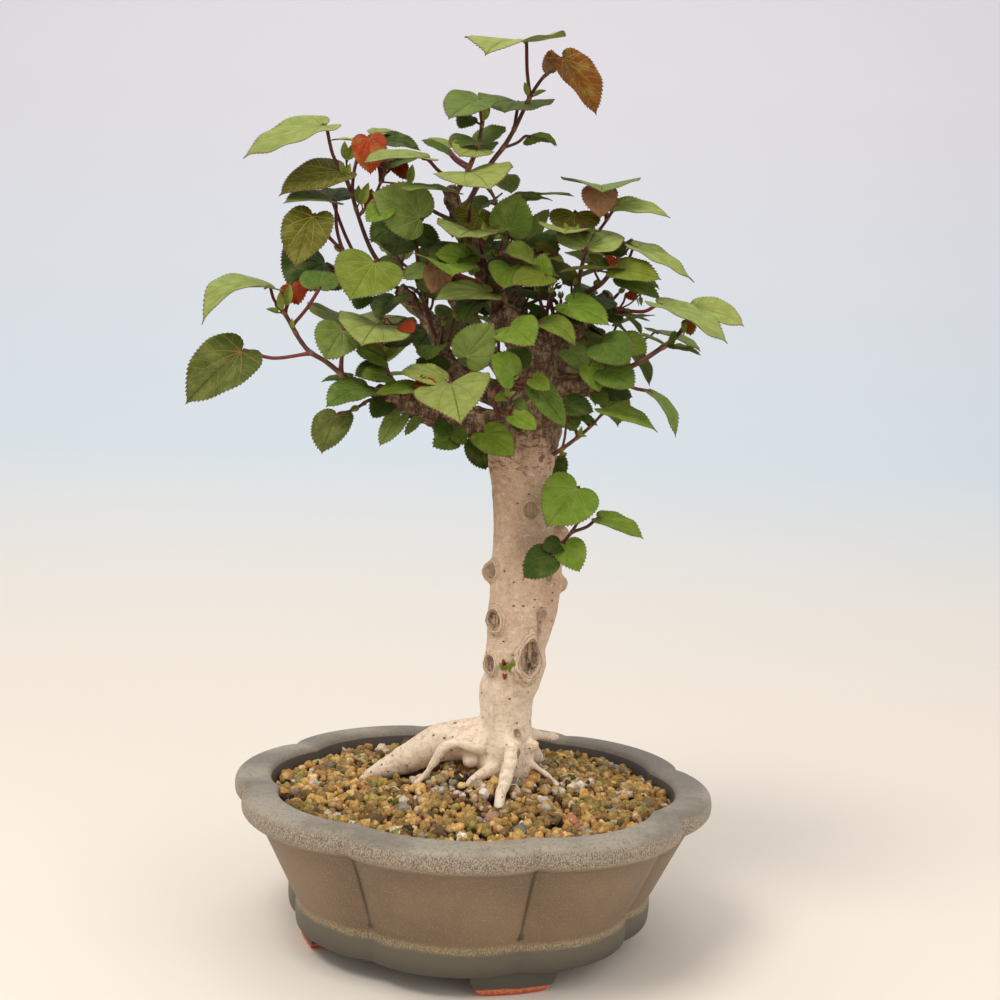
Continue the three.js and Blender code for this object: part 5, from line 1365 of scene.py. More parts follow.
def add_side_leaf(piece, place, heading, size, kinds, draw):
    """A lesser leaf on a short stalk, set at chance round a stem or a branch."""
    around = unit(draw.normal(size=3) + UPRIGHT * 0.3)
    outward = unit(around - heading * (heading @ around) * 0.6)
    base = place + outward * size * 0.45 + UPRIGHT * size * 0.1
    tip = base + unit(outward * (1, 1, 0.5)) * size - UPRIGHT * size * draw.uniform(0.15, 0.5)
    axes = blade_axes(tip - base, unit(UPRIGHT + draw.normal(size=3) * 0.3))
    add_petiole(piece, place, base, axes, draw)
    add_blade(piece, base, tip, axes, draw.choice(list(kinds)), draw.uniform(0.85, 1.1), 8, 0.05, draw)


# Limbs that bear leaves inside the crown: from what share of their length, and how many of each hundred.
INNER_HOSTS = {
    "upper_left": (0.35, 14), "leader": (0.1, 16), "upper_right": (0.35, 16), "middle_right": (0.3, 10),
    "back_left": (0.5, 13), "back_right": (0.5, 13), "back_middle": (0.25, 18),
}


def inner_piece(count):
    """Leaves and bare twigs on the branches inside the crown, which close it up behind the outer ones."""
    draw = np.random.default_rng(77)
    piece = Piece()
    total = sum(share for _, share in INNER_HOSTS.values())
    for name, (start, share) in INNER_HOSTS.items():
        path = listed_path(WOOD[name], 2)
        line, length = path[:, :3], reaches(path)[-1]
        for _ in range(round(count * share / total)):
            reach = length * draw.uniform(start, 1)
            before, place, after = (point_along(line, reach + shift) for shift in (-3, 0, 3))
            # Mostly dark kinds: their dark green is partly painted shade inside the crown.
            add_side_leaf(piece, place, unit(after - before), draw.uniform(15, 24), "DDDMM", draw)
        for _ in range(4):
            add_sprig(piece, point_along(line, length * draw.uniform(0.1, 0.9)), draw)
    return piece


def add_sprig(piece, place, draw):
    """A bare young twig that rises from a branch on the near side and ends in a bud."""
    outward = unit(draw.normal(size=3) * 0.6 + UPRIGHT * 0.7 - SIGHT * 0.7)
    share = np.linspace(0, 1, 5)[:, None]
    path = place + outward * share * draw.uniform(14, 26) + UPRIGHT * share ** 2 * 5
    add_stem(piece, path, 1.7, 1.2, [], 3.6, draw)


# Wood

def add_limb(piece, rows, step, sides):
    path = listed_path(rows, step)
    piece.add(*tube(path[:, :3], path[:, 3], sides))


def add_ball(piece, centre, radius):
    """A round bump, as a tube that swells from one pole and closes at the other."""
    across = np.linspace(0, math.pi, 9)
    path = centre - UPRIGHT * radius * np.cos(across)[:, None]
    piece.add(*tube(path, radius * np.sin(across) + 0.05, ROOT_SIDES))


def rough_wood():
    """Every limb, root and bump as closed tubes, to be grown into one skin."""
    piece = Piece()
    for name, rows in WOOD.items():
        add_limb(piece, rows, 2.5, TRUNK_SIDES if name == "trunk" else LIMB_SIDES)
    for rows in ROOTS:
        add_limb(piece, rows, 1.8, ROOT_SIDES)
    for u, v, d, radius in BUMPS:
        add_ball(piece, spot((u, v, d)), radius)
    return piece


def trunk_at(v):
    """The trunk's middle and radius at a height."""
    rows = np.array(WOOD["trunk"])
    return [np.interp(v, rows[:, 1], rows[:, column]) for column in range(4)]


def scar_seat(u, v):
    """Where a scar sits on the trunk's front, and the way it looks."""
    centre_u, _, centre_d, radius = trunk_at(v)
    across = min(max((u - centre_u) / radius, -0.92), 0.92)
    middle = spot((centre_u + across * radius, v, centre_d + math.sqrt(1 - across * across) * radius))
    outward = unit((middle - spot((centre_u, v, centre_d))) * (1, 1, 0))
    return middle, outward


def scarred(points, normals):
    """How far each point of the bark moves for the old cuts, how dark it is, and how far out in a scar."""
    lift = np.zeros(len(points))
    dark = np.zeros(len(points))
    rings = np.full(len(points), 4.0)
    wobble = noises(points, 4, 7) * 0.14 + noises(points, 1.6, 8) * 0.07
    for u, v, wide, tall, lip, depth, shade in SCARS:
        middle, outward = scar_seat(u, v)
        away = points - middle
        level = np.cross(UPRIGHT, outward)
        near = (np.abs(away @ outward) < 9) & (normals @ outward > 0.1)
        rise = away @ UPRIGHT / tall
        pinch = 1 - (tall / wide - 1) * 0.45 * np.clip(rise, -0.4, 1.2)
        ring = np.hypot(away @ level / wide / pinch, rise) * (1 + wobble)
        rings = np.where(near, np.minimum(rings, ring), rings)
        ripple = 0.14 * lip * np.sin(ring * 21) * smoothstep(1.5, 1, ring)
        bulge = lip * np.exp(-((ring - 0.95) / 0.24) ** 2) + 0.35 * lip * smoothstep(1.6, 0.8, ring)
        cup = depth * smoothstep(0.78, 0.55, ring)
        lift += near * (bulge - cup + ripple)
        seam = np.exp(-((ring - 1.34) / 0.07) ** 2) * 0.35
        dark = np.maximum(dark, near * (shade * smoothstep(0.8, 0.66, ring) + seam * shade))
    path = spots([(u, v, trunk_at(v)[2] + trunk_at(v)[3] * 0.86) for u, v in CRACK])
    gap = np.min([np.linalg.norm(points - place, axis=1) for place in flow(path, 1)], axis=0)
    split = smoothstep(2, 0.6, gap * (1 + wobble))
    return lift - 0.9 * split, np.maximum(dark, 0.8 * split), rings


# Fresh buds on the trunk: u, v, how far they lean to the right, length and kind.
TRUNK_BUDS = [
    (2.4, -85, -30, 5, "G"), (3.6, -86, 10, 6, "G"), (6.2, -86.5, 6, 8.5, "G"), (2.6, -82.5, -10, 3.6, "R"),
    (2.6, -86.5, 175, 3.6, "R"),
]


def bud_piece():
    """The fresh buds, each standing off the trunk beside a scar."""
    draw = np.random.default_rng(9)
    piece = Piece()
    for u, v, lean, length, kind in TRUNK_BUDS:
        middle, outward = scar_seat(u, v)
        turn = math.radians(lean)
        heading = RIGHT * math.sin(turn) + UP * math.cos(turn) + outward * 0.4
        axes = blade_axes(heading, outward)
        add_blade(piece, middle, middle + axes[0] * length, axes, kind, 0.5, 20, 0.1, draw)
    return piece


def age_of(points):
    """How rough and brown the bark is: smooth on the trunk, old and crusted through the crown."""
    u, v = seen_at(points)
    wander = noises(points, 9, 4) * 9
    away = np.abs(u - np.interp(v, *np.array(WOOD["trunk"])[:, 1::-1].T))
    limb = smoothstep(18, 26, away) * smoothstep(0, 30, v)
    return np.clip(smoothstep(14, 34, v + wander) * 0.9 + limb, 0, 1)


def bark_mesh(voxel, relief):
    """The wood's one skin, wrinkled and scarred along its normals."""
    mesh = remeshed(rough_wood(), voxel)
    points = relaxed(points_of(mesh), mesh, 7)
    set_points(mesh, points)
    normals = normals_of(mesh)
    age = age_of(points)
    high = points[:, 2]
    root = smoothstep(122, 100, high)
    lift, dark, rings = scarred(points, normals)
    stretched = points * (1, 1, 1.5)
    lumps = noises(points, 16, 1) * 0.7 * smoothstep(60, 100, high) + noises(points, 7, 2) * 0.35
    ridges = noises(stretched, 5, 3)
    flutes = noises(points * (1, 1, 0.25), 4.5, 5) * root * 0.5
    crust = 1 - np.abs(noises(stretched, 3.4, 6)) * 2
    fine = noises(points, 1.7, 9)
    relief_at = 0.18 * ridges + age * (0.75 * ridges - 0.5 * crust) + fine * (0.08 + 0.16 * age) + flutes
    quiet = 1 - np.clip(dark * 1.2, 0, 0.8)
    points = points + normals * (relief * (lumps + relief_at) * quiet + lift)[:, None]
    points[:, 2] = np.clip(points[:, 2], FLOOR_TOP + 8, None)
    set_points(mesh, points)
    # How high each point stands in the relief; the finish paints shade into the hollows from it.
    depth = 0.5 + 0.5 * np.clip(relief_at, -1, 1)
    marks = {"age": age, "root": root, "scar": dark, "rings": rings, "relief": depth}
    for name, values in marks.items():
        put_mark(mesh, name, values)
    return mesh


# Pot

def pot_radii(steps):
    """The bulge of the lobes round the pot, as radii and angles, and how far each is from a notch.

    The steps crowd together at the notches, where the wall turns fastest."""
    even = np.arange(LOBES * steps) / steps
    turn = even - NOTCH_CROWDING * np.sin(2 * math.pi * even) / (2 * math.pi)
    along = turn % 1
    bulge = LOBE_BULGE * (1 - np.abs(2 * along - 1) ** 2.2)
    angles = np.radians(FIRST_NOTCH + 360 / LOBES * turn)
    return POT_RADIUS * (1 + bulge), angles, np.minimum(along, 1 - along)


def cut_corners(section, rounds):
    """Rounds the corners of a half section by cutting each off at its quarter points."""
    line = np.array(section, float)
    for _ in range(rounds):
        near = line[:-1] * 0.75 + line[1:] * 0.25
        far = line[:-1] * 0.25 + line[1:] * 0.75
        line = np.vstack([line[:1], np.column_stack([near, far]).reshape(-1, 2), line[-1:]])
    return line


def spaced(section, step):
    """Adds points to a half section where its runs are longer than a step."""
    rows = []
    for here, there in zip(section, section[1:]):
        count = max(1, math.ceil(abs(there[1] - here[1]) / step))
        rows += [here + (there - here) * k / count for k in range(count)]
    return np.array([*rows, section[-1]])


def pot_ring(share, height, radii, angles, inset=0):
    reach = radii * share - inset
    return np.column_stack([reach * np.cos(angles), reach * np.sin(angles), np.full(len(angles), height)])


def drilled(mesh):
    """Cuts the two drain holes through the pot's floor."""
    drills = Piece()
    for side in (-1, 1):
        middle = POT_MIDDLE + (side * DRAIN_OFFSET, 0, 0)
        path = np.array([middle, middle + UPRIGHT * 2 * FLOOR_TOP])
        drills.add(*tube(path, np.full(2, DRAIN_RADIUS), 32))
    bowl, drill = linked("bowl", mesh), linked("drill", drills.mesh("drill"))
    cut = modified(bowl, "BOOLEAN", operation="DIFFERENCE", solver="EXACT", object=drill)
    for thing in (bowl, drill):
        bpy.data.objects.remove(thing)
    return cut


def zoned(mesh):
    """Marks each point with its height and how far it is from a seam, and with 1 outside the wall."""
    x, y, high = (points_of(mesh) - POT_MIDDLE).T
    radii, angles, from_notch = pot_radii(48)
    turn = np.arctan2(y, x)
    share = np.hypot(x, y) / np.interp(turn, angles, radii, period=2 * math.pi)
    outer = np.interp(high, *np.array(OUTER_SECTION)[:, ::-1].T)
    inner = np.interp(high, *np.array(INNER_SECTION)[::-1, ::-1].T)
    outside = (share > (outer + inner) / 2) | (high < FLOOR_TOP - 1) | (high > POT_HEIGHT - 2.5)
    seam = np.interp(turn, angles, from_notch, period=2 * math.pi) * LOBE_LENGTH
    put_mark(mesh, "zone", np.column_stack([high, seam, outside]))
    return mesh


def bowl_mesh(steps):
    """The bowl's skin from under its floor up the outside and down the inside, pinched at the seams."""
    radii, angles, from_notch = pot_radii(steps)
    outer = spaced(cut_corners(OUTER_SECTION, 2), 3)
    inner = spaced(cut_corners(INNER_SECTION, 2), 5)
    count = len(angles)
    outward = np.column_stack([np.cos(angles), np.sin(angles), np.zeros(count)])
    seam = np.exp(-(from_notch * LOBE_LENGTH / 1.1) ** 2)
    pinch = np.exp(-(from_notch * LOBE_LENGTH / 4.6) ** 2)
    rings = [pot_ring(share, height, radii, angles) for share, height in inner]
    for share, height in outer[::-1]:
        ring = pot_ring(share, height, radii, angles)
        groove = seam * np.interp(height, (25, 40, 60, 66), (0, 0.5, 0.5, 0))
        groove += pinch * np.interp(height, (12, 46, 62, 70), (0, 1.2, 1.2, 1.9))
        rings.insert(0, ring + outward * (0.2 * noises(ring, 34, 11) - 0.2 - groove)[:, None])
    points = np.vstack([*rings, [(0, 0, OUTER_SECTION[0][1])], [(0, 0, FLOOR_TOP)]]) + POT_MIDDLE
    piece = Piece()
    piece.add(points, closed_skin(len(rings), count))
    return zoned(drilled(piece.mesh("bowl")))


def feet_mesh():
    """Four feet with rounded ends."""
    piece = Piece()
    outside, inside = (spaced(np.array(FOOT_SECTION)[:, [side, 2]], 1) for side in (0, 1))
    for k in range(FEET):
        middle = FIRST_NOTCH + 360 / FEET * k
        rings = []
        for (outer, height), (inner, _) in zip(outside, inside):
            taper = 1 - 0.32 * max(0, 1 - height / 8) ** 2
            turns = np.radians(middle + np.linspace(-1, 1, FOOT_STEPS) * FOOT_SPREAD * taper)
            ease = 0.6 * smoothstep(1.2, 0, height)
            arc = np.column_stack([np.cos(turns), np.sin(turns)])
            ring = np.vstack([arc * (POT_RADIUS * outer - ease), arc[::-1] * (POT_RADIUS * inner + ease)])
            rings.append(np.column_stack([ring, np.full(len(ring), height)]))
        points = np.vstack([*rings, [rings[0].mean(0)], [rings[-1].mean(0)]]) + POT_MIDDLE
        piece.add(points, closed_skin(len(rings), len(rings[0])))
    return zoned(piece.mesh("feet"))


# Soil

def soil_height(x, y):
    """The soil's height at a place: heaped up to the trunk, and a little uneven."""
    distance = np.hypot(x - TRUNK_FOOT[0], y - TRUNK_FOOT[1])
    crumb = np.sin(x * 0.31 + 1.3) * np.cos(y * 0.27) + np.sin(x * 0.13 - y * 0.19)
    return SOIL_EDGE + MOUND_RISE * np.exp(-(distance / MOUND_REACH) ** 2) + 0.6 * crumb


def grain_reach(angle):
    """How far the grains reach at an angle round the pot."""
    radii, angles, _ = pot_radii(SOIL_STEPS)
    return np.interp(angle, angles, radii, period=2 * math.pi) * SOIL_SHARE - GRAIN_INSET


def earth_mesh():
    """The fine earth under the grains, closed down to the pot's floor."""
    radii, angles, _ = pot_radii(SOIL_STEPS)
    rings = [pot_ring(share, height, radii, angles, WALL_GAP) for share, height in EARTH_SECTION]
    edge = rings[-1]
    for share in np.linspace(0.97, 0.03, 32):
        x, y = edge[:, 0] * share, edge[:, 1] * share
        rings.append(np.column_stack([x, y, soil_height(x, y) - EARTH_DEPTH]))
    points = np.vstack([*rings, [(0, 0, EARTH_FLOOR)], [(0, 0, soil_height(0, 0) - EARTH_DEPTH)]])
    points[:, 2] += np.where(points[:, 2] > SOIL_EDGE - 4, noises(points, 6, 12) * 0.8, 0)
    piece = Piece()
    piece.add(points + POT_MIDDLE, closed_skin(len(rings), len(angles)))
    return piece.mesh("earth")


def stone_form(across):
    """A cube divided and pushed out to a ball: its points and quads."""
    line = np.linspace(-1, 1, across + 1)
    points, faces = [], []
    for axis in range(3):
        for way in (-1, 1):
            a, b = np.meshgrid(line, line, indexing="ij")
            face = np.zeros((a.size, 3))
            face[:, axis] = way
            face[:, (axis + 1) % 3] = a.ravel()
            face[:, (axis + 2) % 3] = b.ravel()
            i, j = np.meshgrid(np.arange(across), np.arange(across), indexing="ij")
            corner = (i * (across + 1) + j).ravel() + len(points) * a.size
            beside = corner + across + 1
            block = np.column_stack([corner, beside, beside + 1, corner + 1])
            faces.append(block if way > 0 else block[:, ::-1])
            points.append(face)
    points = np.vstack(points)
    kept, back = np.unique(points.round(6), axis=0, return_inverse=True)
    faces = back.reshape(-1)[np.vstack(faces)]
    return kept / np.linalg.norm(kept, axis=1)[:, None] ** 0.85, faces


def wood_gap(places):
    """How far places in the soil are from the nearest root or the trunk's foot."""
    gap = np.full(len(places), 1e9)
    for rows in [WOOD["trunk"][:3], *ROOTS]:
        path = listed_path(rows, 2)
        for x, y, z, radius in path:
            away = np.hypot(places[:, 0] - x, places[:, 1] - y)
            gap = np.minimum(gap, away - np.where(z - radius > places[:, 2] + 1.5, -99, radius))
    return gap


GRAIN_COLOURS = [
    (210, 166, 96), (198, 152, 84), (220, 178, 108), (186, 142, 78), (178, 142, 88), (226, 192, 132),
    (170, 150, 84), (146, 116, 72),
]
PALE_COLOURS = [(232, 214, 190), (216, 198, 172), (242, 230, 210), (202, 174, 146)]
ODD_COLOURS = [(164, 154, 140), (164, 112, 92), (58, 38, 26), (48, 32, 22), (132, 126, 84)]


def add_stones(piece, places, sizes, colours, draw, form):
    """Puts one lumpy stone at each place."""
    shape, faces = form
    for place, size, colour in zip(places, sizes, colours):
        turn = np.linalg.qr(draw.normal(size=(3, 3)))[0]
        if np.linalg.det(turn) < 0:
            turn[0] *= -1
        lumpy = shape * (1 + draw.uniform(-0.24, 0.24, size=(len(shape), 1)))
        stretch = draw.uniform(0.72, 1.25, size=3)
        points = (lumpy * stretch * size / 2) @ turn + place
        piece.add(points, [faces], tint=toned(colour, draw.uniform(0.7, 1.3)))


def scattered(count, draw):
    """Places spread evenly over the soil inside the pot's wall, in the row frame, at the soil's height."""
    i = np.arange(count)
    angle = np.radians(GOLDEN_TURN * i + draw.uniform(-9, 9, count))
    share = np.sqrt((i + 0.5) / count) + draw.normal(size=count) * 0.012
    reach = np.clip(share, 0, 1) * grain_reach(angle)
    x, y = reach * np.cos(angle), reach * np.sin(angle)
    return np.column_stack([x, y, soil_height(x, y)]) + POT_MIDDLE


# Studio

def add_sweep(look):
    """A floor that curves up into a wall well behind the tree."""
    front, start, bend, high, half = -3.0, 0.45, 1.6, 4.0, 6.0
    turns = np.linspace(0, math.pi / 2, 25)
    curve = zip(start + bend * np.sin(turns), bend - bend * np.cos(turns))
    line = [(front, 0.0), *curve, (start + bend, high)]
    turn = turning(POT_TURN, "Z")
    rings = [np.array([(-half, y, z), (half, y, z)]) @ turn.T + POT_MIDDLE * MM for y, z in line]
    piece = Piece()
    piece.add(np.vstack(rings) / MM, [quads(len(rings), 2, closed=False)])
    finish = sweep_finish(look.floor_colour, look.wall_colour, look.top_colour)
    shown("studio_sweep", piece.mesh("studio_sweep"), [finish])


def add_lamp(name, place, power, size, colour):
    """A soft square lamp that looks at the middle of the crown."""
    lamp = bpy.data.lights.new(name, "AREA")
    lamp.energy = power
    lamp.size = size
    lamp.color = colour
    thing = linked(name, lamp)
    aim = Vector(POT_MIDDLE * MM) + Vector((0, 0, LAMP_AIM))
    thing.location = aim + Vector(turning(POT_TURN, "Z") @ np.array(place))
    thing.rotation_euler = (aim - thing.location).to_track_quat("-Z", "Y").to_euler()


def add_lamps(share):
    """The key, fill and wall lamps and the pale air, all brighter or dimmer by the share."""
    add_lamp("key_lamp", (-0.7, -0.8, 1.5), 20 * share, 0.8, (1.0, 0.97, 0.92))
    add_lamp("fill_lamp", (1.4, -1.2, 0.8), 7 * share, 1.4, (1.0, 0.98, 0.96))
    add_lamp("wall_lamp", (0.0, 0.6, 2.4), 7 * share, 1.6, (1.0, 1.0, 1.0))
    world = bpy.data.worlds.new("pale_air")
    world.use_nodes = True
    air = world.node_tree.nodes["Background"]
    air.inputs["Color"].default_value = (0.97, 0.97, 1.0, 1)
    air.inputs["Strength"].default_value = 0.7 * share
    bpy.context.scene.world = world


def add_camera():
    """The camera at the photograph's viewpoint."""
    camera = bpy.data.cameras.new("front_camera")
    camera.sensor_width = SENSOR
    camera.lens = FOCAL_PIXELS * SENSOR / PICTURE_SIDE
    camera.clip_start = 0.01
    thing = linked("front_camera", camera)
    axes = Matrix(np.column_stack([RIGHT, UP, -SIGHT]).tolist()).to_4x4()
    thing.matrix_world = Matrix.Translation(Vector(EYE * MM)) @ axes
    bpy.context.scene.camera = thing
    bpy.context.scene.view_settings.view_transform = "Standard"


def on_soil(u, v):
    """The place on the soil that is seen at u and v from the front."""
    ray = spot((u, v, 0)) - EYE
    place = EYE + ray * (SOIL_EDGE - EYE[2]) / ray[2]
    for _ in range(3):
        x, y, _ = place - POT_MIDDLE
        place = EYE + ray * (soil_height(x, y) - EYE[2]) / ray[2]
    return place


# Loose things on the soil, as they are seen from the front: larger stones with their width and colour.
LARGE_STONES = [
    (-63, -160, 9, (108, 84, 62)), (-4, -158.5, 8, (164, 128, 112)), (10, -165, 8.5, (140, 132, 118)),
    (-82, -158, 6.5, (198, 184, 162)), (36, -160, 7, (184, 120, 90)), (-30, -166, 7, (120, 96, 70)),
    (56, -156, 6.5, (150, 140, 122)), (74, -152, 7, (116, 92, 66)), (-48, -150, 6, (206, 192, 172)),
    (22, -150, 6, (214, 204, 188)), (44, -146, 5.5, (204, 190, 168)), (-8, -146, 5.5, (220, 208, 190)),
]
MOSS_SPECKS = [(-96, -127), (-53, -151), (36, -139), (-78, -122)]
TWIG = [(-81.5, -123.5), (-77, -127), (-72, -130.5), (-67, -132.5)]
FIBRES = [
    [(8.5, -142), (10, -139), (13.5, -137)], [(2, -146), (6, -144), (9, -145)],
    [(-30, -140), (-26, -138), (-21, -139)], [(30, -140), (35, -138.5), (38, -140)],
    [(-58, -146), (-53, -145), (-50, -147)],
]
CHIP_COLOUR = (134, 92, 58)
CHIPS = [(-6, -174, 8, 20), (-40, -162, 5, 70), (26, -158, 5, 140), (62, -160, 6, 30), (-70, -144, 5, 110)]


def grain_pieces(look):
    """The grains, shared between two pieces: the near half of the pot and the far half."""
    draw = np.random.default_rng(41)
    places = scattered(look.grain_count, draw)
    size = look.grain_size / MM * np.exp(draw.normal(size=len(places)).clip(-2, 2) * 0.26)
    near_trunk = np.hypot(*(places - POT_MIDDLE - (*TRUNK_FOOT, 0))[:, :2].T) < PALE_REACH
    pale = draw.uniform(size=len(places)) < np.where(near_trunk, 0.36, 0.05)
    odd = draw.uniform(size=len(places)) < np.where(near_trunk, 0.2, 0.08)
    colours = []
    for is_pale, is_odd in zip(pale, odd):
        shelf = PALE_COLOURS if is_pale else ODD_COLOURS if is_odd else GRAIN_COLOURS
        colours.append(shelf[draw.integers(len(shelf))])
    damp = 1 - 0.3 * smoothstep(0, 0.4, noises(places, 9, 21))
    colours = np.array(colours) * damp[:, None]
    places[:, 2] += draw.uniform(-2.3, 0.2, len(places))
    clear = wood_gap(places) > size * 0.1
    form = stone_form(2)
    halves = []
    for half in (places[:, 1] < POT_MIDDLE[1], places[:, 1] >= POT_MIDDLE[1]):
        kept = np.flatnonzero(half & clear)
        piece = Piece()
        add_stones(piece, places[kept], size[kept], [colours[k] for k in kept], draw, form)
        halves.append(piece)
    return halves


def stone_piece():
    """Larger stones and wood chips half sunk among the grains."""
    draw = np.random.default_rng(7)
    form = stone_form(6)
    piece = Piece()
    for u, v, wide, colour in LARGE_STONES:
        place = on_soil(u, v) - UPRIGHT * wide * 0.12
        add_stones(piece, [place], [wide * 0.85], [colour], draw, form)
    shape, faces = stone_form(3)
    for u, v, length, turn in CHIPS:
        place = on_soil(u, v) + UPRIGHT * 0.8
        chip = (shape * (length / 2, length / 5, 0.8)) @ turning(turn, "Z").T @ turning(12, "X").T + place
        piece.add(chip, [faces], tint=straight(CHIP_COLOUR))
    return piece


def moss_piece():
    """Small cushions of moss: tufts set close together."""
    draw = np.random.default_rng(12)
    piece = Piece()
    shape, faces = stone_form(2)
    for u, v in MOSS_SPECKS:
        middle = on_soil(u, v)
        for _ in range(22):
            away = draw.normal(size=2) * 1.2
            reach = np.hypot(*away)
            tuft = draw.uniform(0.4, 0.8)
            place = middle + (*away, 1.3 - reach * 0.4)
            piece.add(shape * tuft * (1, 1, 1.5) + place, [faces])
    return piece


def twig_piece():
    """A dead twig that lies on the soil."""
    piece = Piece()
    path = flow([on_soil(u, v) + UPRIGHT * 1.4 for u, v in TWIG], 1.5)
    bent = path + noises(path, 5, 3)[:, None] * 0.5
    piece.add(*tube(bent, 0.8 + 0.15 * noises(path, 2, 4), 8))
    return piece


def fibre_piece():
    """Fine pale fibres, arched a little over the grains."""
    piece = Piece()
    for line in FIBRES:
        path = flow([on_soil(u, v) + UPRIGHT * 1.7 for u, v in line], 0.8)
        piece.add(*tube(path + UPRIGHT * noises(path, 3, 2)[:, None] * 0.6, np.full(len(path), 0.22), 5))
    return piece


# What a user can change

class BonsaiLeafLook(bpy.types.PropertyGroup):
    """How the blades are cut."""
    thickness: bpy.props.FloatProperty(
        name="Thickness", description="How thick a blade is", default=0.00045, min=0.0002, max=0.002,
        subtype="DISTANCE", unit="LENGTH", precision=5)
    tooth_pitch: bpy.props.FloatProperty(
        name="Tooth pitch", description="Distance between teeth on a large blade's rim", default=0.0023,
        min=0.001, max=0.01, subtype="DISTANCE", unit="LENGTH", precision=4)
    tooth_depth: bpy.props.FloatProperty(
        name="Tooth depth", description="How far the teeth of a large blade stand out", default=0.00085,
        min=0.0, max=0.003, subtype="DISTANCE", unit="LENGTH", precision=4)
    waviness: bpy.props.FloatProperty(
        name="Waviness", description="How far the rim waves, as a share of the blade's length",
        default=0.03, min=0.0, max=0.1, subtype="FACTOR")
    inner_leaves: bpy.props.IntProperty(
        name="Inner leaves", description="Leaves that grow on the branches inside the crown", default=64,
        min=0, max=150)


class BonsaiWoodLook(bpy.types.PropertyGroup):
    """How fine and how rough the wood is."""
    voxel: bpy.props.FloatProperty(
        name="Fineness", description="Width of the cells that the wood's skin is grown from",
        default=0.0009, min=0.0007, max=0.004, subtype="DISTANCE", unit="LENGTH", precision=5)
    relief: bpy.props.FloatProperty(
        name="Relief", description="How strongly the bark is wrinkled", default=1.0, min=0.0, max=2.0,
        subtype="FACTOR")


class BonsaiPotLook(bpy.types.PropertyGroup):
    """How finely the bowl is made, and how its soil is made up."""
    lobe_steps: bpy.props.IntProperty(
        name="Steps in a lobe", description="How many steps each of the pot's lobes is made in", default=26,
        min=8, max=40)
    grain_size: bpy.props.FloatProperty(
        name="Grain size", description="Width of a middling soil grain", default=0.0038, min=0.002,
        max=0.008, subtype="DISTANCE", unit="LENGTH", precision=4)
    grain_count: bpy.props.IntProperty(
        name="Grains", description="How many grains lie on the soil", default=3600, min=100, max=4000)


class BonsaiStageLook(bpy.types.PropertyGroup):
    """The plain studio round the tree."""
    floor_colour: bpy.props.FloatVectorProperty(
        name="Floor", description="Colour of the floor", default=(0.85, 0.77, 0.66), min=0.0, max=1.0,
        subtype="COLOR")
    wall_colour: bpy.props.FloatVectorProperty(
        name="Wall", description="Colour of the wall behind the trunk", default=(0.67, 0.745, 0.785),
        min=0.0, max=1.0, subtype="COLOR")
    top_colour: bpy.props.FloatVectorProperty(
        name="Wall top", description="Colour of the wall behind the crown", default=(0.78, 0.76, 0.8),
        min=0.0, max=1.0, subtype="COLOR")
    light: bpy.props.FloatProperty(
        name="Light", description="How bright the lamps are, as a share of their usual power", default=1.0,
        min=0.1, max=5.0, subtype="FACTOR")


# Steps

class BONSAI_OT_pot(bpy.types.Operator):
    """Make the lobed bowl and its feet"""
    bl_idname = "bonsai.pot"
    bl_label = "Pot"

    def execute(self, context):
        glaze = [glaze_finish()]
        bowl = bowl_mesh(context.scene.bonsai_pot.lobe_steps)
        placed(shown("glazed_bowl", bowl, glaze, 50), "glaze", "pot")
        placed(shown("bowl_feet", feet_mesh(), glaze, 45), "glaze", "pot")
        return {"FINISHED"}


class BONSAI_OT_soil(bpy.types.Operator):
    """Fill the pot with earth and strew it with grains, stones, moss and litter"""
    bl_idname = "bonsai.soil"
    bl_label = "Soil"

    def execute(self, context):
        grain = grain_finish("soil_grains", 0.55)
        placed(shown("soil_bed", earth_mesh(), [earth_finish()]), "soil", "soil")
        near, far = grain_pieces(context.scene.bonsai_pot)
        loose = {
            "soil_grains_near": (near, grain),
            "soil_grains_far": (far, grain),
            "stones_and_chips": (stone_piece(), grain_finish("pebbles", 0.15)),
            "moss_specks": (moss_piece(), dull_finish("moss", MOSS_COLOURS, 900, 0.85)),
            "fallen_twig": (twig_piece(), dull_finish("dead_wood", TWIG_COLOURS, 300)),
            "pale_fibres": (fibre_piece(), dull_finish("fibre", FIBRE_COLOURS, 400)),
        }
        for name, (piece, finish) in loose.items():
            placed(shown(name, piece.mesh(name), [finish]), "soil")
        return {"FINISHED"}


class BONSAI_OT_wood(bpy.types.Operator):
    """Grow the trunk, its roots and its branches into one barked skin"""
    bl_idname = "bonsai.wood"
    bl_label = "Wood"

    def execute(self, context):
        look = context.scene.bonsai_wood
        mesh = bark_mesh(look.voxel / MM, look.relief)
        placed(shown("barked_trunk", mesh, [bark_finish()]), "bark", "trunk")
        return {"FINISHED"}


class BONSAI_OT_shoots(bpy.types.Operator):
    """Grow the leafy shoots on the near side"""
    bl_idname = "bonsai.shoots"
    bl_label = "Shoots"

    def execute(self, context):
        finishes = leaf_finish(), stem_finish()
        for seed, (name, (stems, leaves)) in enumerate(SHOOTS.items()):
            piece = Piece()
            add_shoot(piece, stems, leaves, seed + 1)
            leafy("leaves_" + name, piece, finishes, "shoot_" + name)
        leafy("trunk_buds", bud_piece(), finishes)
        return {"FINISHED"}


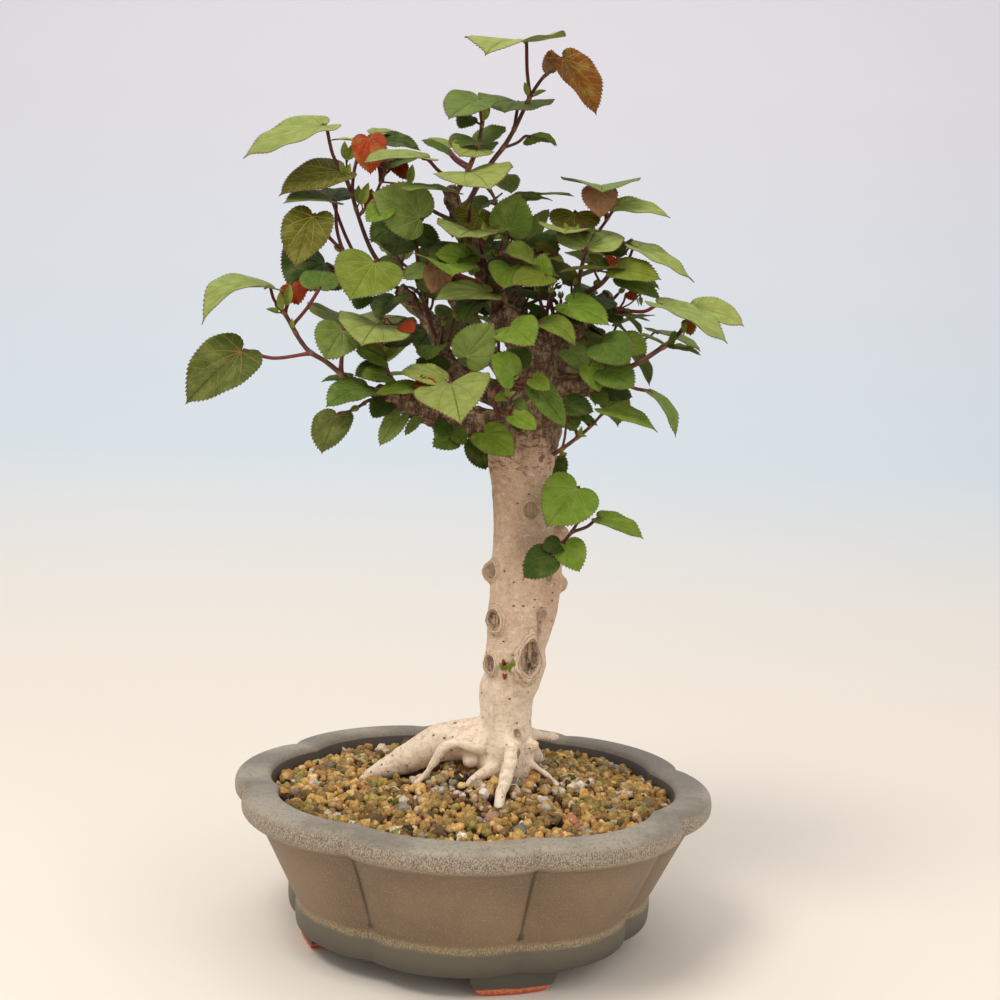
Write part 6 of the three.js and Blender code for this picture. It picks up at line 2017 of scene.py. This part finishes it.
class BONSAI_OT_far_shoots(bpy.types.Operator):
    """Grow the shoots on the far side and the leaves inside the crown"""
    bl_idname = "bonsai.far_shoots"
    bl_label = "Far and inner leaves"

    def execute(self, context):
        finishes = bpy.data.materials["leaf_blade"], bpy.data.materials["young_stem"]
        for seed, (name, stem, count, longest) in enumerate(FAR_SHOOTS):
            piece = Piece()
            add_far_shoot(piece, stem, count, longest, seed + 1)
            leafy("leaves_" + name, piece, finishes, "shoot_" + name)
        leafy("leaves_inner", inner_piece(context.scene.bonsai_leaf.inner_leaves), finishes)
        return {"FINISHED"}


class BONSAI_OT_screens(bpy.types.Operator):
    """Finish the screens over the drain holes"""
    bl_idname = "bonsai.screens"
    bl_label = "Drain screens"

    def execute(self, context):
        plastic = dull_finish("screen_plastic", SCREEN_COLOURS, 500, 0.5)
        for node in ("drain_mesh_left", "drain_mesh_right"):
            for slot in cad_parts[node].material_slots:
                slot.material = plastic
        return {"FINISHED"}


class BONSAI_OT_stage(bpy.types.Operator):
    """Set the floor, the lamps and the camera"""
    bl_idname = "bonsai.stage"
    bl_label = "Stage"

    def execute(self, context):
        look = context.scene.bonsai_stage
        add_sweep(look)
        add_lamps(look.light)
        add_camera()
        return {"FINISHED"}


STEPS = [
    BONSAI_OT_pot, BONSAI_OT_soil, BONSAI_OT_wood, BONSAI_OT_shoots, BONSAI_OT_far_shoots,
    BONSAI_OT_screens, BONSAI_OT_stage,
]
LOOKS = {
    "bonsai_leaf": BonsaiLeafLook, "bonsai_wood": BonsaiWoodLook, "bonsai_pot": BonsaiPotLook,
    "bonsai_stage": BonsaiStageLook,
}


class BONSAI_PT_panel(bpy.types.Panel):
    """The steps in their order, with what a user can change."""
    bl_label = "Sea hibiscus bonsai"
    bl_idname = "BONSAI_PT_panel"
    bl_space_type = "VIEW_3D"
    bl_region_type = "UI"
    bl_category = "Bonsai"

    def draw(self, context):
        for name, look in LOOKS.items():
            box = self.layout.box()
            for prop in look.__annotations__:
                box.prop(getattr(context.scene, name), prop)
        for step in STEPS:
            self.layout.operator(step.bl_idname)


def register():
    for kind in (*LOOKS.values(), *STEPS, BONSAI_PT_panel):
        bpy.utils.register_class(kind)
    for name, look in LOOKS.items():
        setattr(bpy.types.Scene, name, bpy.props.PointerProperty(type=look))


def unregister():
    for name in LOOKS:
        delattr(bpy.types.Scene, name)
    for kind in (BONSAI_PT_panel, *reversed(STEPS), *LOOKS.values()):
        bpy.utils.unregister_class(kind)


def main():
    register()
    bpy.ops.bonsai.pot()
    bpy.ops.bonsai.soil()
    bpy.ops.bonsai.wood()
    bpy.ops.bonsai.shoots()
    bpy.ops.bonsai.far_shoots()
    bpy.ops.bonsai.screens()
    bpy.ops.bonsai.stage()
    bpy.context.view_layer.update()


if __name__ == "__main__":
    main()
